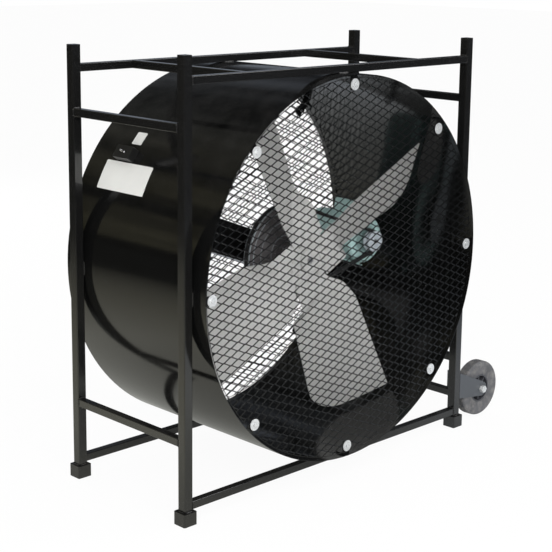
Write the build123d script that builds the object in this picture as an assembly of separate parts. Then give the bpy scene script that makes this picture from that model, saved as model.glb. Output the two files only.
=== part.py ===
from build123d import *
from math import acos, atan2, cos, degrees, hypot, radians, sin, sqrt, tan
import os

# A belt-driven drum fan in a welded frame of square tube.
# X runs along the front, Y runs from the front to the back and Z is up.
# The origin is on the floor, midway between the four posts. All sizes are in millimetres.

# Drum
drum_diameter = 1251.0
drum_wall = 1.5
drum_length = 674.0

# Frame
frame_depth = 558.8
post_size = 31.75
post_wall = 2.1
post_corner = 3.2
post_top_chamfer = 1.0
stub_height = 60.1
rail_size = 25.4
rail_wall = 2.1
rail_corner = 2.6
socket_size = 50.8
socket_wall = 3.2
socket_corner = 5.0
socket_height = 41.0
rail_above_socket = 5.1
upper_side_rail_z = 1186.0
lower_side_rail_z = 243.6
axle_rail_z = 110.6
left_cross_member_x = -406.0
right_cross_member_x = 381.0

# Guards: discs of expanded sheet, held by washers on tabs inside the drum
guard_thickness = 3.0
guard_recess = 7.5
guard_edge_gap = 9.0
guard_edge_band = 5.0
mesh_long_pitch = 152.4
mesh_short_pitch = 70.2
mesh_strand = 5.0
smallest_mesh_hole = 400.0
guard_bolt_inset = 30.0
guard_bolt_count = 8
washer_radius = 18.5
washer_thickness = 1.5
washer_land_margin = 1.0
tab_width = 30.0
tab_reach = 18.0
tab_length = 32.0
tab_thickness = 3.0

# Bolts
guard_bolt_radius = 4.0
bearing_bolt_radius = 5.0
motor_bolt_radius = 4.0
bolt_clearance = 0.3
bolt_tail = 2.0
hex_across_share = 3.25
hex_head_share = 1.3
hex_nut_share = 1.6

# Support channel across the drum
channel_tilt = 21.0
channel_above_shaft = 52.0
channel_below_shaft = 62.0
channel_depth = 100.0
channel_wall = 5.0
channel_bend = 9.0
channel_front_y = 57.0
weld_gap = 0.1
rear_plate_width = 150.0
rear_plate_thickness = 6.0

# Fan shaft and its two flange bearings
shaft_radius = 12.7
shaft_front_overhang = 2.0
shaft_rear_overhang = 6.0
shaft_chamfer = 1.0
running_clearance = 0.05
bearing_flange_size = 95.2
bearing_flange_corner = 14.0
bearing_flange_thickness = 12.0
bearing_height = 34.0
bearing_boss_radius = 34.0
bearing_boss_taper = 6.0
bearing_bolt_spacing = 66.0
sleeve_radius = 17.5
sleeve_overhang = 4.0
shaft_hole_clearance = 2.5

# Fan
blade_count = 4
blade_first_angle = 27.0
blade_tip_radius = 603.0
blade_root_radius = 50.0
blade_chord = 360.0
blade_pitch = 32.0
blade_centre_shift = -8.0
blade_centre_y = -140.0
blade_thickness = 3.0
blade_camber = 13.0
blade_bend_slant = 0.45
blade_flat_end = 105.0
blade_twist_end = 165.0
blade_twist_steps = 4
blade_root_front = 40.0
blade_root_rear = 96.0
blade_root_end = 95.0
blade_neck_radius = 130.0
blade_neck_front = 72.0
blade_shoulder_radius = 205.0
blade_front_edge = 91.5
blade_rear_bend_radius = 140.0
blade_rear_edge_beyond_tip = 157.0
blade_overrun = 40.0
blade_edge_fillet = 60.0
blade_sharp_corner = 8.0
blade_round_corner = 95.0
hub_plate_gap = 0.2
hub_plate_thickness = 6.0
hub_plate_radius = 95.0
hub_front_radius = 38.0
hub_front_height = 9.0
hub_rear_radius = 32.0
hub_rear_height = 42.0
hub_chamfer = 2.0
rivet_radius = 3.2
rivet_head_radius = 6.5
rivet_head_top_radius = 4.0
rivet_head_height = 3.0
rivet_clearance = 0.15
rivet_places = ((64.0, -36.0), (64.0, 16.0), (83.0, -10.0))

# Belt drive
belt_top_width = 16.5
belt_height = 10.3
belt_side_angle = 19.0
belt_clearance = 0.3
belt_y = -23.0
driven_sheave_radius = 172.6
drive_sheave_radius = 38.0
belt_above_rim = 1.0
belt_pitch_depth = 4.0
groove_depth_below_belt = 2.5
sheave_width = 24.0
sheave_rim_depth = 9.0
sheave_web = 6.0
sheave_web_bite = 1.0
sheave_hub_draft = 2.0
sheave_hub_radius = 36.0
sheave_hub_front = 18.0
sheave_hub_rear = 26.0

# Motor
motor_along_channel = 427.0
motor_foot_height = 91.0
motor_radius = 86.0
motor_wall = 3.5
motor_front_y = 7.0
motor_bell_length = 33.0
motor_shell_length = 175.0
bell_corner = 12.0
bell_nose_radius = 66.0
bell_dish_radius = 46.0
bell_dish = 6.0
bell_draft = 2.0
bell_spigot = 4.0
bell_face_thickness = 10.0
bell_boss_radius = 24.0
bell_boss_height = 22.0
bell_boss_proud = 0.7
motor_shaft_radius = 8.0
motor_shaft_end = 3.0
stator_length = 95.0
stator_bore = 45.0
air_gap = 0.5
cradle_width = 150.0
cradle_length = 92.0
cradle_wall = 4.0
cradle_leg_width = 116.0
cradle_leg_rise = 40.0
motor_bolt_spacing_across = 132.0
motor_bolt_spacing_along = 66.0
box_width = 62.0
box_length = 92.0
box_rise = 46.0
box_sink = 8.0
box_angle = 78.0
box_front_y = 72.0
box_lid = 3.0
box_lid_lip = 2.0
box_corner = 6.0

# Wheels
wheel_radius = 101.6
wheel_width = 45.0
wheel_floor_gap = 9.0
wheel_post_gap = 29.2
tyre_inner_radius = 52.0
tyre_groove_width = 3.0
tyre_groove_depth = 3.0
tyre_groove_count = 4
tyre_shoulder = 9.0
tyre_side_band = 12.0
tyre_side_taper = 3.0
hub_rim_thickness = 6.0
hub_spoke_count = 8
hub_spoke = 6.0
hub_web = 30.0
hub_boss_radius = 17.0
axle_radius = 7.9
plate_thickness = 3.2
plate_side_gap = 0.3
wheel_to_plate = 4.2
plate_root_low = 102.0
plate_root_high = 197.0
plate_nose_radius = 27.0
axle_head_height = 9.0
axle_nut_height = 13.0
axle_hex_across = 24.0
axle_tail = 2.0

# Switch on the drum's flank
switch_angle = 144.6
switch_y = 163.5
switch_length = 79.0
switch_width = 44.0
switch_height = 26.0
switch_wall = 2.0
switch_corner = 4.0
toggle_radius = 3.2
toggle_chamfer = 1.0
toggle_pivot_depth = 6.0
toggle_pin_radius = 1.5
toggle_barrel_radius = 5.0
toggle_side_gap = 0.5
toggle_length = 17.0
toggle_tilt = 20.0
toggle_slot_width = 8.0
toggle_slot_length = 30.0
toggle_slot_corner = 3.9

# Worked out from the sizes above
drum_radius = drum_diameter / 2
drum_inner_radius = drum_radius - drum_wall
half_width = drum_radius + post_size
half_depth = frame_depth / 2
bottom_rail_z = socket_height + rail_above_socket
fan_z = bottom_rail_z + rail_size + drum_radius
top_rail_z = fan_z + drum_radius
post_top_z = top_rail_z + rail_size + stub_height
drum_front_y = -drum_length / 2
guard_front_y = drum_front_y + guard_recess
guard_back_y = guard_front_y + guard_thickness
guard_radius = drum_inner_radius - guard_edge_gap
guard_bolt_circle = drum_inner_radius - guard_bolt_inset
channel_back_y = channel_front_y + channel_depth
rear_plate_back_y = channel_back_y + rear_plate_thickness
front_bearing_y = channel_front_y - bearing_height
rear_bearing_y = rear_plate_back_y + bearing_height
hub_plate_front_y = blade_centre_y + blade_thickness / 2 + hub_plate_gap
hub_plate_back_y = hub_plate_front_y + hub_plate_thickness
hub_front_y = hub_plate_front_y - hub_front_height
hub_rear_y = hub_plate_back_y + hub_rear_height
shaft_front_y = hub_front_y - shaft_front_overhang
shaft_rear_y = rear_bearing_y + sleeve_overhang + shaft_rear_overhang
along_x = cos(radians(channel_tilt))
along_z = -sin(radians(channel_tilt))
motor_offset = channel_above_shaft + motor_foot_height
motor_x = motor_along_channel * along_x - motor_offset * along_z
motor_z = fan_z + motor_along_channel * along_z + motor_offset * along_x
motor_back_y = motor_front_y + 2 * motor_bell_length + motor_shell_length
shell_front_y = motor_front_y + motor_bell_length
shell_back_y = shell_front_y + motor_shell_length
wheel_x = half_width + wheel_post_gap + wheel_radius
wheel_z = wheel_floor_gap + wheel_radius
outer_plate_y = -half_depth
wheel_front_y = outer_plate_y + plate_thickness + wheel_to_plate
wheel_back_y = wheel_front_y + wheel_width
inner_plate_y = wheel_back_y + wheel_to_plate


def along_y(outline, front_y, back_y):
    """Give an outline drawn in front view a depth from one Y to another."""
    return Pos(0, back_y, 0) * extrude(Plane.XZ * outline, amount=back_y - front_y)


def outline(points):
    """Make a closed flat shape from its corners."""
    return make_face(Polyline(*points, close=True))


def turned(points):
    """Revolve a profile of (radius, y) corners about the Y axis."""
    return revolve(outline(points), Axis.Y, 360)


def swing(angle):
    """A turn about the Y axis that takes +X towards +Z."""
    return Rot(0, -angle, 0)


def at_fan(shape):
    """Move a shape drawn about the Y axis to the fan's axis."""
    return Pos(0, 0, fan_z) * shape


def at_motor(shape):
    """Move a shape drawn about the Y axis to the motor's axis."""
    return Pos(motor_x, 0, motor_z) * shape


def on_channel(shape):
    """Tilt a shape drawn level about the fan's axis to the channel's slope."""
    return at_fan(swing(-channel_tilt) * shape)


def both_ends(shape):
    """A shape at the front and its mirror image at the back."""
    return [shape, mirror(shape, about=Plane.XZ)]


def hexagon(across_flats):
    """A hexagon by its size across the flats."""
    return RegularPolygon(across_flats / sqrt(3), 6)


def square_tube(length, size, wall, corner):
    """A square tube with rounded outer corners that stands on the origin."""
    bore = size - 2 * wall
    return extrude(RectangleRounded(size, size, corner) - Rectangle(bore, bore), length)


def tube_along_x(x_start, x_end, y, z):
    """A rail along X, by its centre line."""
    tube = square_tube(x_end - x_start, rail_size, rail_wall, rail_corner)
    return Pos(x_start, y, z) * Rot(0, 90, 0) * tube


def tube_along_y(y_start, y_end, x, z):
    """A rail along Y, by its centre line."""
    tube = square_tube(y_end - y_start, rail_size, rail_wall, rail_corner)
    return Pos(x, y_start, z) * Rot(-90, 0, 0) * tube


def post(side_x, side_y):
    """A corner post, open inside, with a closed top."""
    height = post_top_z - socket_height
    bore = post_size - 2 * post_wall
    body = extrude(RectangleRounded(post_size, post_size, post_corner), height)
    body = chamfer(body.faces().sort_by(Axis.Z)[-1].edges(), post_top_chamfer)
    body -= extrude(Rectangle(bore, bore), height - post_wall)
    x = side_x * (half_width - post_size / 2)
    y = side_y * (half_depth - post_size / 2)
    return Pos(x, y, socket_height) * body


def foot_socket(side_x, side_y):
    """A short piece of larger tube under a post, open below and closed where the post stands."""
    bore = socket_size - 2 * socket_wall
    body = extrude(RectangleRounded(socket_size, socket_size, socket_corner), socket_height)
    body -= extrude(RectangleRounded(bore, bore, socket_corner - socket_wall), socket_height - socket_wall)
    x = side_x * (half_width - post_size / 2)
    y = side_y * (half_depth - post_size / 2)
    return Pos(x, y, 0) * body


def long_rail(side_y, low_z):
    """A rail between the two posts of the front or the back."""
    reach = half_width - post_size
    return tube_along_x(-reach, reach, side_y * (half_depth - rail_size / 2), low_z + rail_size / 2)


def side_rail(side_x, low_z):
    """A rail between the front and the rear post of one end."""
    reach = half_depth - post_size
    return tube_along_y(-reach, reach, side_x * (half_width - rail_size / 2), low_z + rail_size / 2)


def cross_member(x):
    """A tube between the two long top rails."""
    reach = half_depth - rail_size
    return tube_along_y(-reach, reach, x, top_rail_z + rail_size / 2)


def drum_shell():
    """The rolled sheet that the air runs through."""
    ring = Circle(drum_radius) - Circle(drum_inner_radius)
    return at_fan(along_y(ring, drum_front_y, -drum_front_y))


def bolt_circle():
    """The angles of the guard's bolts."""
    return [360 * number / guard_bolt_count for number in range(guard_bolt_count)]


def guard_sheet():
    """The outline of a guard: a disc full of diamond holes, whole under each washer."""
    side_reach = mesh_long_pitch * mesh_short_pitch / hypot(mesh_long_pitch, mesh_short_pitch)
    open_share = 1 - mesh_strand / side_reach
    half_long = mesh_long_pitch / 2 * open_share
    half_short = mesh_short_pitch / 2 * open_share
    diamond = outline([(half_long, 0), (0, half_short), (-half_long, 0), (0, -half_short)])
    columns = int(guard_radius / mesh_long_pitch) + 1
    rows = int(guard_radius / mesh_short_pitch) + 1
    places = []
    for column in range(-columns, columns + 1):
        for row in range(-rows, rows + 1):
            places.append((column * mesh_long_pitch, row * mesh_short_pitch))
            places.append(((column + 0.5) * mesh_long_pitch, (row + 0.5) * mesh_short_pitch))
    inside = [place for place in places if hypot(*place) < guard_radius + half_long]
    open_disc = Sketch() + Circle(guard_radius - guard_edge_band)
    for angle in bolt_circle():
        open_disc -= Rot(0, 0, angle) * Pos(guard_bolt_circle, 0) * Circle(washer_radius - washer_land_margin)
    holes = (Sketch() + [Pos(x, y) * diamond for x, y in inside]) & open_disc
    sheet = Circle(guard_radius) - [hole for hole in holes.faces() if hole.area > smallest_mesh_hole]
    for angle in bolt_circle():
        sheet -= Rot(0, 0, angle) * Pos(guard_bolt_circle, 0) * Circle(guard_bolt_radius + bolt_clearance)
    return sheet


def front_guard():
    """The expanded-sheet disc in the front mouth."""
    return at_fan(along_y(guard_sheet(), guard_front_y, guard_back_y))


def guard_tab():
    """One bent tab on the drum's wall at angle zero, with the weld nut on its inner side."""
    inner_radius = guard_bolt_circle - tab_reach
    nut_height = hex_nut_share * guard_bolt_radius
    foot = along_y(
        Pos((inner_radius + drum_radius) / 2, 0) * Rectangle(drum_radius - inner_radius, tab_width),
        guard_back_y,
        guard_back_y + tab_thickness,
    )
    flange = along_y(
        Pos(drum_inner_radius - tab_thickness, 0) * Rectangle(2 * tab_thickness, tab_width),
        guard_back_y,
        guard_back_y + tab_length,
    )
    nut = along_y(
        Pos(guard_bolt_circle, 0) * hexagon(hex_across_share * guard_bolt_radius),
        guard_back_y + tab_thickness,
        guard_back_y + tab_thickness + nut_height,
    )
    hole = along_y(
        Pos(guard_bolt_circle, 0) * Circle(guard_bolt_radius + running_clearance),
        guard_back_y,
        guard_back_y + tab_thickness + nut_height,
    )
    wall = along_y(Circle(drum_inner_radius - weld_gap), guard_back_y, guard_back_y + tab_length)
    return ((foot + flange) & wall) + nut - hole


def guard_bolt():
    """One hexagon bolt through washer, guard and tab, at angle zero."""
    head_back = guard_front_y - washer_thickness
    tail = guard_back_y + tab_thickness + hex_nut_share * guard_bolt_radius + bolt_tail
    head_front = head_back - hex_head_share * guard_bolt_radius
    head = along_y(hexagon(hex_across_share * guard_bolt_radius), head_front, head_back)
    shank = along_y(Circle(guard_bolt_radius), head_back, tail)
    return Pos(guard_bolt_circle, 0, 0) * (head + shank)


def guard_washer():
    """One large washer on the guard, at angle zero."""
    ring = Circle(washer_radius) - Circle(guard_bolt_radius + bolt_clearance)
    return Pos(guard_bolt_circle, 0, 0) * along_y(ring, guard_front_y - washer_thickness, guard_front_y)


def round_the_drum(piece):
    """Copies of a piece at every guard bolt, in the front and the rear mouth."""
    pieces = []
    for angle in bolt_circle():
        pieces += both_ends(swing(angle) * piece)
    return Compound(children=[at_fan(shape) for shape in pieces])


def support_channel():
    """The bent channel across the drum, open at the back, with its ends cut to the drum's wall."""
    reach = drum_radius
    top = channel_above_shaft
    low = -channel_below_shaft
    outer = outline([
        (channel_front_y, low),
        (channel_back_y, low),
        (channel_back_y, top),
        (channel_front_y, top),
    ])
    front_corners = outer.vertices().sort_by(Axis.X)[:2]
    outer = fillet(front_corners, channel_bend)
    inner = outline([
        (channel_front_y + channel_wall, low + channel_wall),
        (channel_back_y, low + channel_wall),
        (channel_back_y, top - channel_wall),
        (channel_front_y + channel_wall, top - channel_wall),
    ])
    inner = fillet(inner.vertices().sort_by(Axis.X)[:2], channel_bend - channel_wall)
    section = Plane(origin=(-reach, 0, 0), x_dir=(0, 1, 0), z_dir=(1, 0, 0)) * (outer - inner)
    body = extrude(section, amount=2 * reach)
    body &= along_y(Circle(drum_inner_radius - weld_gap), channel_front_y, channel_back_y)
    body -= along_y(Circle(sleeve_radius + shaft_hole_clearance), channel_front_y, channel_back_y)
    for x, z in bearing_bolt_places():
        hole = Pos(x, z) * Circle(bearing_bolt_radius + bolt_clearance)
        body -= along_y(hole, channel_front_y, channel_front_y + channel_wall)
    for x, y in motor_bolt_places():
        body -= Pos(x, y, 0) * extrude(Circle(motor_bolt_radius + bolt_clearance), top)
    return on_channel(body)


def rear_bearing_plate():
    """The plate across the channel's open back that carries the rear bearing."""
    height = channel_above_shaft + channel_below_shaft
    centre = (channel_above_shaft - channel_below_shaft) / 2
    sheet = Pos(0, centre) * Rectangle(rear_plate_width, height)
    sheet -= Circle(sleeve_radius + shaft_hole_clearance)
    for x, z in bearing_bolt_places():
        sheet -= Pos(x, z) * Circle(bearing_bolt_radius + bolt_clearance)
    return on_channel(along_y(sheet, channel_back_y, rear_plate_back_y))


def bearing_bolt_places():
    """The corners of a flange bearing's bolt pattern, level with the channel."""
    half = bearing_bolt_spacing / 2
    return [(x, z) for x in (-half, half) for z in (-half, half)]


def bearing_housing():
    """A square-flange bearing housing that seats at y zero and stands towards -Y."""
    flange = RectangleRounded(bearing_flange_size, bearing_flange_size, bearing_flange_corner)
    for x, z in bearing_bolt_places():
        flange -= Pos(x, z) * Circle(bearing_bolt_radius + bolt_clearance)
    boss_face = bearing_boss_radius - bearing_boss_taper
    boss = turned([
        (0, -bearing_flange_thickness),
        (bearing_boss_radius, -bearing_flange_thickness),
        (boss_face, -bearing_height),
        (0, -bearing_height),
    ])
    bore = along_y(Circle(sleeve_radius + running_clearance), -bearing_height, 0)
    return along_y(flange, -bearing_flange_thickness, 0) + boss - bore


def front_bearing_housing():
    """The bearing on the channel's web."""
    return on_channel(Pos(0, channel_front_y, 0) * bearing_housing())


def rear_bearing_housing():
    """The bearing on the rear plate, turned to face the back."""
    return on_channel(Pos(0, rear_plate_back_y, 0) * Rot(0, 0, 180) * bearing_housing())


def bearing_sleeves():
    """The two inner sleeves that turn with the shaft, one in each housing."""
    ring = Circle(sleeve_radius) - Circle(shaft_radius + running_clearance)
    front = along_y(ring, front_bearing_y - sleeve_overhang, channel_front_y + channel_wall)
    rear = along_y(ring, channel_back_y, rear_bearing_y + sleeve_overhang)
    return Compound(children=[at_fan(front), at_fan(rear)])


def flange_bolt(seat_y, grip):
    """A bolt with its nut, head towards -Y, through a stack that starts at seat_y."""
    across = hex_across_share * bearing_bolt_radius
    head_height = hex_head_share * bearing_bolt_radius
    nut_height = hex_nut_share * bearing_bolt_radius
    nut_y = seat_y + grip
    tail_y = nut_y + nut_height + bolt_tail
    head = along_y(hexagon(across), seat_y - head_height, seat_y)
    bolt = head + along_y(Circle(bearing_bolt_radius), seat_y, tail_y)
    nut = hexagon(across) - Circle(bearing_bolt_radius + running_clearance)
    return [bolt, along_y(nut, nut_y, nut_y + nut_height)]


def bearing_bolts():
    """The bolts and nuts of both bearings."""
    pieces = []
    front_seat = channel_front_y - bearing_flange_thickness
    rear_seat = rear_plate_back_y + bearing_flange_thickness
    for x, z in bearing_bolt_places():
        for piece in flange_bolt(front_seat, bearing_flange_thickness + channel_wall):
            pieces.append(Pos(x, 0, z) * piece)
        for piece in flange_bolt(-rear_seat, bearing_flange_thickness + rear_plate_thickness):
            pieces.append(Pos(x, 0, z) * mirror(piece, about=Plane.XZ))
    return Compound(children=[on_channel(piece) for piece in pieces])


def fan_shaft():
    """The straight shaft that carries the fan and the large sheave."""
    inner = shaft_radius - shaft_chamfer
    return at_fan(turned([
        (0, shaft_front_y),
        (inner, shaft_front_y),
        (shaft_radius, shaft_front_y + shaft_chamfer),
        (shaft_radius, shaft_rear_y - shaft_chamfer),
        (inner, shaft_rear_y),
        (0, shaft_rear_y),
    ]))


def fan_hub():
    """The round plate that the blades are riveted to, in one piece with the hub on the shaft."""
    sheet = Sketch() + Circle(hub_plate_radius)
    for angle in blade_angles(0):
        for x, z in rivet_places:
            sheet -= Rot(0, 0, angle) * Pos(x, z) * Circle(rivet_radius + rivet_clearance)
    plate = along_y(sheet, hub_plate_front_y, hub_plate_back_y)
    boss = turned([
        (0, hub_front_y),
        (hub_front_radius - hub_chamfer, hub_front_y),
        (hub_front_radius, hub_front_y + hub_chamfer),
        (hub_front_radius, hub_plate_front_y),
        (hub_front_radius, hub_plate_back_y),
        (hub_rear_radius, hub_plate_back_y + hub_chamfer),
        (hub_rear_radius, hub_rear_y - hub_chamfer),
        (hub_rear_radius - hub_chamfer, hub_rear_y),
        (0, hub_rear_y),
    ])
    bore = along_y(Circle(shaft_radius + running_clearance), hub_front_y, hub_rear_y)
    return at_fan(swing(blade_first_angle) * (plate + boss - bore))


def blade_angles(first):
    """The angles of the blades, counted from the first."""
    return [first + 360 * number / blade_count for number in range(blade_count)]


def blade_section(station, twist, camber):
    """A cut through the blade along the slant of its bend: a thin bow, turned by its twist."""
    across_y = -sin(radians(twist))
    across_z = cos(radians(twist))

    def on_slant(across, out):
        y = blade_centre_y + across * across_y + out * across_z
        z = blade_centre_shift + across * across_z - out * across_y
        return Vector(station - blade_bend_slant * z, y, z)

    half_chord = blade_chord / 2
    half_sheet = blade_thickness / 2
    faces = []
    for offset in (-half_sheet, half_sheet):
        bow = [(-half_chord, offset), (0, camber + offset), (half_chord, offset)]
        faces.append(Spline(*[on_slant(across, out) for across, out in bow]))
    ends = [Line(faces[0] @ share, faces[1] @ share) for share in (0, 1)]
    return make_face(faces + ends)


def rounded(shape, place, radius):
    """Round the corner of a flat shape that lies nearest to a place."""
    corner = min(shape.vertices(), key=lambda vertex: hypot(vertex.X - place[0], vertex.Y - place[1]))
    return fillet(corner, radius)


def blade_outline():
    """The blade's front view, with its narrow root, square front corner and round rear corner."""
    beyond = blade_tip_radius + blade_overrun
    bends = [
        (blade_rear_bend_radius, -blade_root_rear),
        (blade_shoulder_radius, blade_front_edge),
        (blade_neck_radius, blade_neck_front),
        (blade_root_end, blade_root_front),
    ]
    shape = outline([
        (blade_root_radius, -blade_root_rear),
        bends[0],
        (beyond, -blade_rear_edge_beyond_tip),
        (beyond, blade_front_edge),
        bends[1],
        bends[2],
        bends[3],
        (blade_root_radius, blade_root_front),
    ])
    for place in bends:
        shape = rounded(shape, place, blade_edge_fillet)
    shape = shape & Circle(blade_tip_radius)
    shape = rounded(shape, (blade_tip_radius, blade_front_edge), blade_sharp_corner)
    return rounded(shape, (blade_tip_radius, -blade_rear_edge_beyond_tip), blade_round_corner)


def blade():
    """One blade at angle zero: flat at its root, twisted and bowed further out."""
    stations = [(0.0, 0.0)]
    for step in range(blade_twist_steps + 1):
        share = step / blade_twist_steps
        station = blade_flat_end + share * (blade_twist_end - blade_flat_end)
        stations.append((station, share * share * (3 - 2 * share)))
    stations.append((blade_tip_radius + blade_overrun + blade_bend_slant * blade_front_edge, 1.0))
    sections = []
    for station, share in stations:
        sections.append(blade_section(station, blade_pitch * share, blade_camber * share))
    body = loft(sections, ruled=True)
    depth = blade_chord / 2
    body &= along_y(blade_outline(), blade_centre_y - depth, blade_centre_y + depth)
    for x, z in rivet_places:
        hole = Pos(x, z) * Circle(rivet_radius + rivet_clearance)
        body -= along_y(hole, blade_centre_y - depth, blade_centre_y + depth)
    return body


def rivet():
    """A rivet through a blade's root and the hub's plate, on the Y axis."""
    front = blade_centre_y - blade_thickness / 2
    return turned([
        (0, front - rivet_head_height),
        (rivet_head_top_radius, front - rivet_head_height),
        (rivet_head_radius, front),
        (rivet_radius, front),
        (rivet_radius, hub_plate_back_y),
        (rivet_head_radius, hub_plate_back_y),
        (rivet_head_top_radius, hub_plate_back_y + rivet_head_height),
        (0, hub_plate_back_y + rivet_head_height),
    ])


def blade_rivets():
    """The rivets of all blades."""
    pieces = []
    for angle in blade_angles(blade_first_angle):
        for x, z in rivet_places:
            pieces.append(at_fan(swing(angle) * Pos(x, 0, z) * rivet()))
    return Compound(children=pieces)


def belt_half_width(depth):
    """Half the belt's width at a depth below its top."""
    return belt_top_width / 2 - depth * tan(radians(belt_side_angle))


def sheave_rim(radius, inner_radius):
    """A grooved rim about the Y axis, as its (radius, y) corners, front and rear."""
    side_gap = belt_clearance / cos(radians(belt_side_angle))
    mouth = belt_half_width(belt_above_rim) + side_gap
    bottom_depth = belt_height + groove_depth_below_belt
    floor = belt_half_width(bottom_depth) + side_gap
    half = sheave_width / 2
    return turned([
        (inner_radius, belt_y - half),
        (radius, belt_y - half),
        (radius, belt_y - mouth),
        (radius + belt_above_rim - bottom_depth, belt_y - floor),
        (radius + belt_above_rim - bottom_depth, belt_y + floor),
        (radius, belt_y + mouth),
        (radius, belt_y + half),
        (inner_radius, belt_y + half),
    ])


def driven_sheave():
    """The large sheave on the fan shaft: rim, recessed web and hub."""
    groove_floor = driven_sheave_radius + belt_above_rim - belt_height - groove_depth_below_belt
    rim_inner = groove_floor - sheave_rim_depth
    bore = shaft_radius + running_clearance
    web = turned([
        (bore, belt_y - sheave_hub_front),
        (sheave_hub_radius, belt_y - sheave_hub_front),
        (sheave_hub_radius + sheave_hub_draft, belt_y - sheave_web / 2),
        (rim_inner + sheave_web_bite, belt_y - sheave_web / 2),
        (rim_inner + sheave_web_bite, belt_y + sheave_web / 2),
        (sheave_hub_radius + sheave_hub_draft, belt_y + sheave_web / 2),
        (sheave_hub_radius, belt_y + sheave_hub_rear),
        (bore, belt_y + sheave_hub_rear),
    ])
    return at_fan(sheave_rim(driven_sheave_radius, rim_inner) + web)


def drive_sheave():
    """The small solid sheave on the motor shaft."""
    return at_motor(sheave_rim(drive_sheave_radius, motor_shaft_radius + running_clearance))


def v_belt():
    """The belt round both sheaves, in its grooves with a small gap on every side."""
    dx = motor_x
    dz = motor_z - fan_z
    distance = hypot(dx, dz)
    direction = degrees(atan2(dz, dx))
    large = driven_sheave_radius + belt_above_rim
    small = drive_sheave_radius + belt_above_rim
    spread = degrees(acos((large - small) / distance))
    run = sqrt(distance ** 2 - (large - small) ** 2)

    def section(top_radius):
        half_top = belt_half_width(0)
        half_low = belt_half_width(belt_height)
        return outline([
            (top_radius, belt_y - half_top),
            (top_radius, belt_y + half_top),
            (top_radius - belt_height, belt_y + half_low),
            (top_radius - belt_height, belt_y - half_low),
        ])

    round_large = swing(direction - spread) * revolve(section(large), Axis.Y, 360 - 2 * spread)
    round_small = swing(direction + spread) * revolve(section(small), Axis.Y, 2 * spread)
    straight = extrude(section(large), amount=run, dir=(0, 0, 1))
    upper = swing(direction + spread) * mirror(straight, about=Plane.XY)
    lower = swing(direction - spread) * straight
    return at_fan(round_large + upper + lower + Pos(dx, 0, dz) * round_small)


def motor_shell():
    """The rolled body of the motor."""
    ring = Circle(motor_radius) - Circle(motor_radius - motor_wall)
    return at_motor(along_y(ring, shell_front_y, shell_back_y))


def motor_bell():
    """An end bell about the Y axis with its face towards -Y at y zero and its spigot behind."""
    spigot_radius = motor_radius - motor_wall - running_clearance
    wall = motor_wall
    back = motor_bell_length
    return turned([
        (motor_shaft_radius + running_clearance, -bell_boss_proud),
        (bell_boss_radius, -bell_boss_proud),
        (bell_boss_radius + bell_draft, bell_dish),
        (bell_dish_radius, bell_dish),
        (bell_nose_radius, 0),
        (motor_radius - bell_corner / 2, bell_corner / 3),
        (motor_radius, bell_corner),
        (motor_radius, back),
        (spigot_radius, back),
        (spigot_radius, back + bell_spigot),
        (spigot_radius - wall, back + bell_spigot),
        (spigot_radius - wall, bell_face_thickness + bell_spigot),
        (bell_nose_radius, bell_face_thickness),
        (bell_boss_radius + bell_draft, bell_face_thickness + bell_dish),
        (bell_boss_radius, bell_boss_height),
        (motor_shaft_radius + running_clearance, bell_boss_height),
    ])


def front_motor_bell():
    """The bell that the motor shaft comes out of."""
    return at_motor(Pos(0, motor_front_y, 0) * motor_bell())


def rear_motor_bell():
    """The bell at the back end."""
    return at_motor(Pos(0, motor_back_y, 0) * Rot(0, 0, 180) * motor_bell())


def motor_cradle():
    """The bent foot between the motor and the channel's upper flange."""
    half_leg = cradle_leg_width / 2
    half_base = cradle_width / 2
    low = -motor_foot_height
    shape = outline([
        (-half_base, low),
        (half_base, low),
        (half_base, low + cradle_wall),
        (half_leg, low + cradle_wall),
        (half_leg, low + cradle_leg_rise),
        (-half_leg, low + cradle_leg_rise),
        (-half_leg, low + cradle_wall),
        (-half_base, low + cradle_wall),
    ])
    shape -= outline([
        (-half_leg + cradle_wall, low + cradle_wall),
        (half_leg - cradle_wall, low + cradle_wall),
        (half_leg - cradle_wall, low + cradle_leg_rise),
        (-half_leg + cradle_wall, low + cradle_leg_rise),
    ])
    shape -= Circle(motor_radius + weld_gap)
    front_y = channel_front_y + (channel_depth - cradle_length) / 2
    body = along_y(shape, front_y, front_y + cradle_length)
    for x, y in motor_bolt_places():
        hole = extrude(Circle(motor_bolt_radius + bolt_clearance), cradle_wall)
        body -= Pos(x - motor_along_channel, y, low) * hole
    return at_motor(swing(-channel_tilt) * body)


def motor_bolt_places():
    """The foot bolts as (distance along the channel, y)."""
    middle = channel_front_y + channel_depth / 2
    half_across = motor_bolt_spacing_across / 2
    half_along = motor_bolt_spacing_along / 2
    places = []
    for x in (motor_along_channel - half_across, motor_along_channel + half_across):
        for y in (middle - half_along, middle + half_along):
            places.append((x, y))
    return places


def motor_bolts():
    """The foot bolts of the motor, with their nuts under the flange."""
    across = hex_across_share * motor_bolt_radius
    seat = channel_above_shaft + cradle_wall
    under = channel_above_shaft - channel_wall
    nut_height = hex_nut_share * motor_bolt_radius
    pieces = []
    for x, y in motor_bolt_places():
        head = Pos(x, y, seat) * extrude(hexagon(across), hex_head_share * motor_bolt_radius)
        tail = under - nut_height - bolt_tail
        shank = Pos(x, y, tail) * extrude(Circle(motor_bolt_radius), seat - tail)
        nut = extrude(hexagon(across) - Circle(motor_bolt_radius + running_clearance), nut_height)
        pieces.append(on_channel(head + shank))
        pieces.append(on_channel(Pos(x, y, under - nut_height) * nut))
    return Compound(children=pieces)


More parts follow.
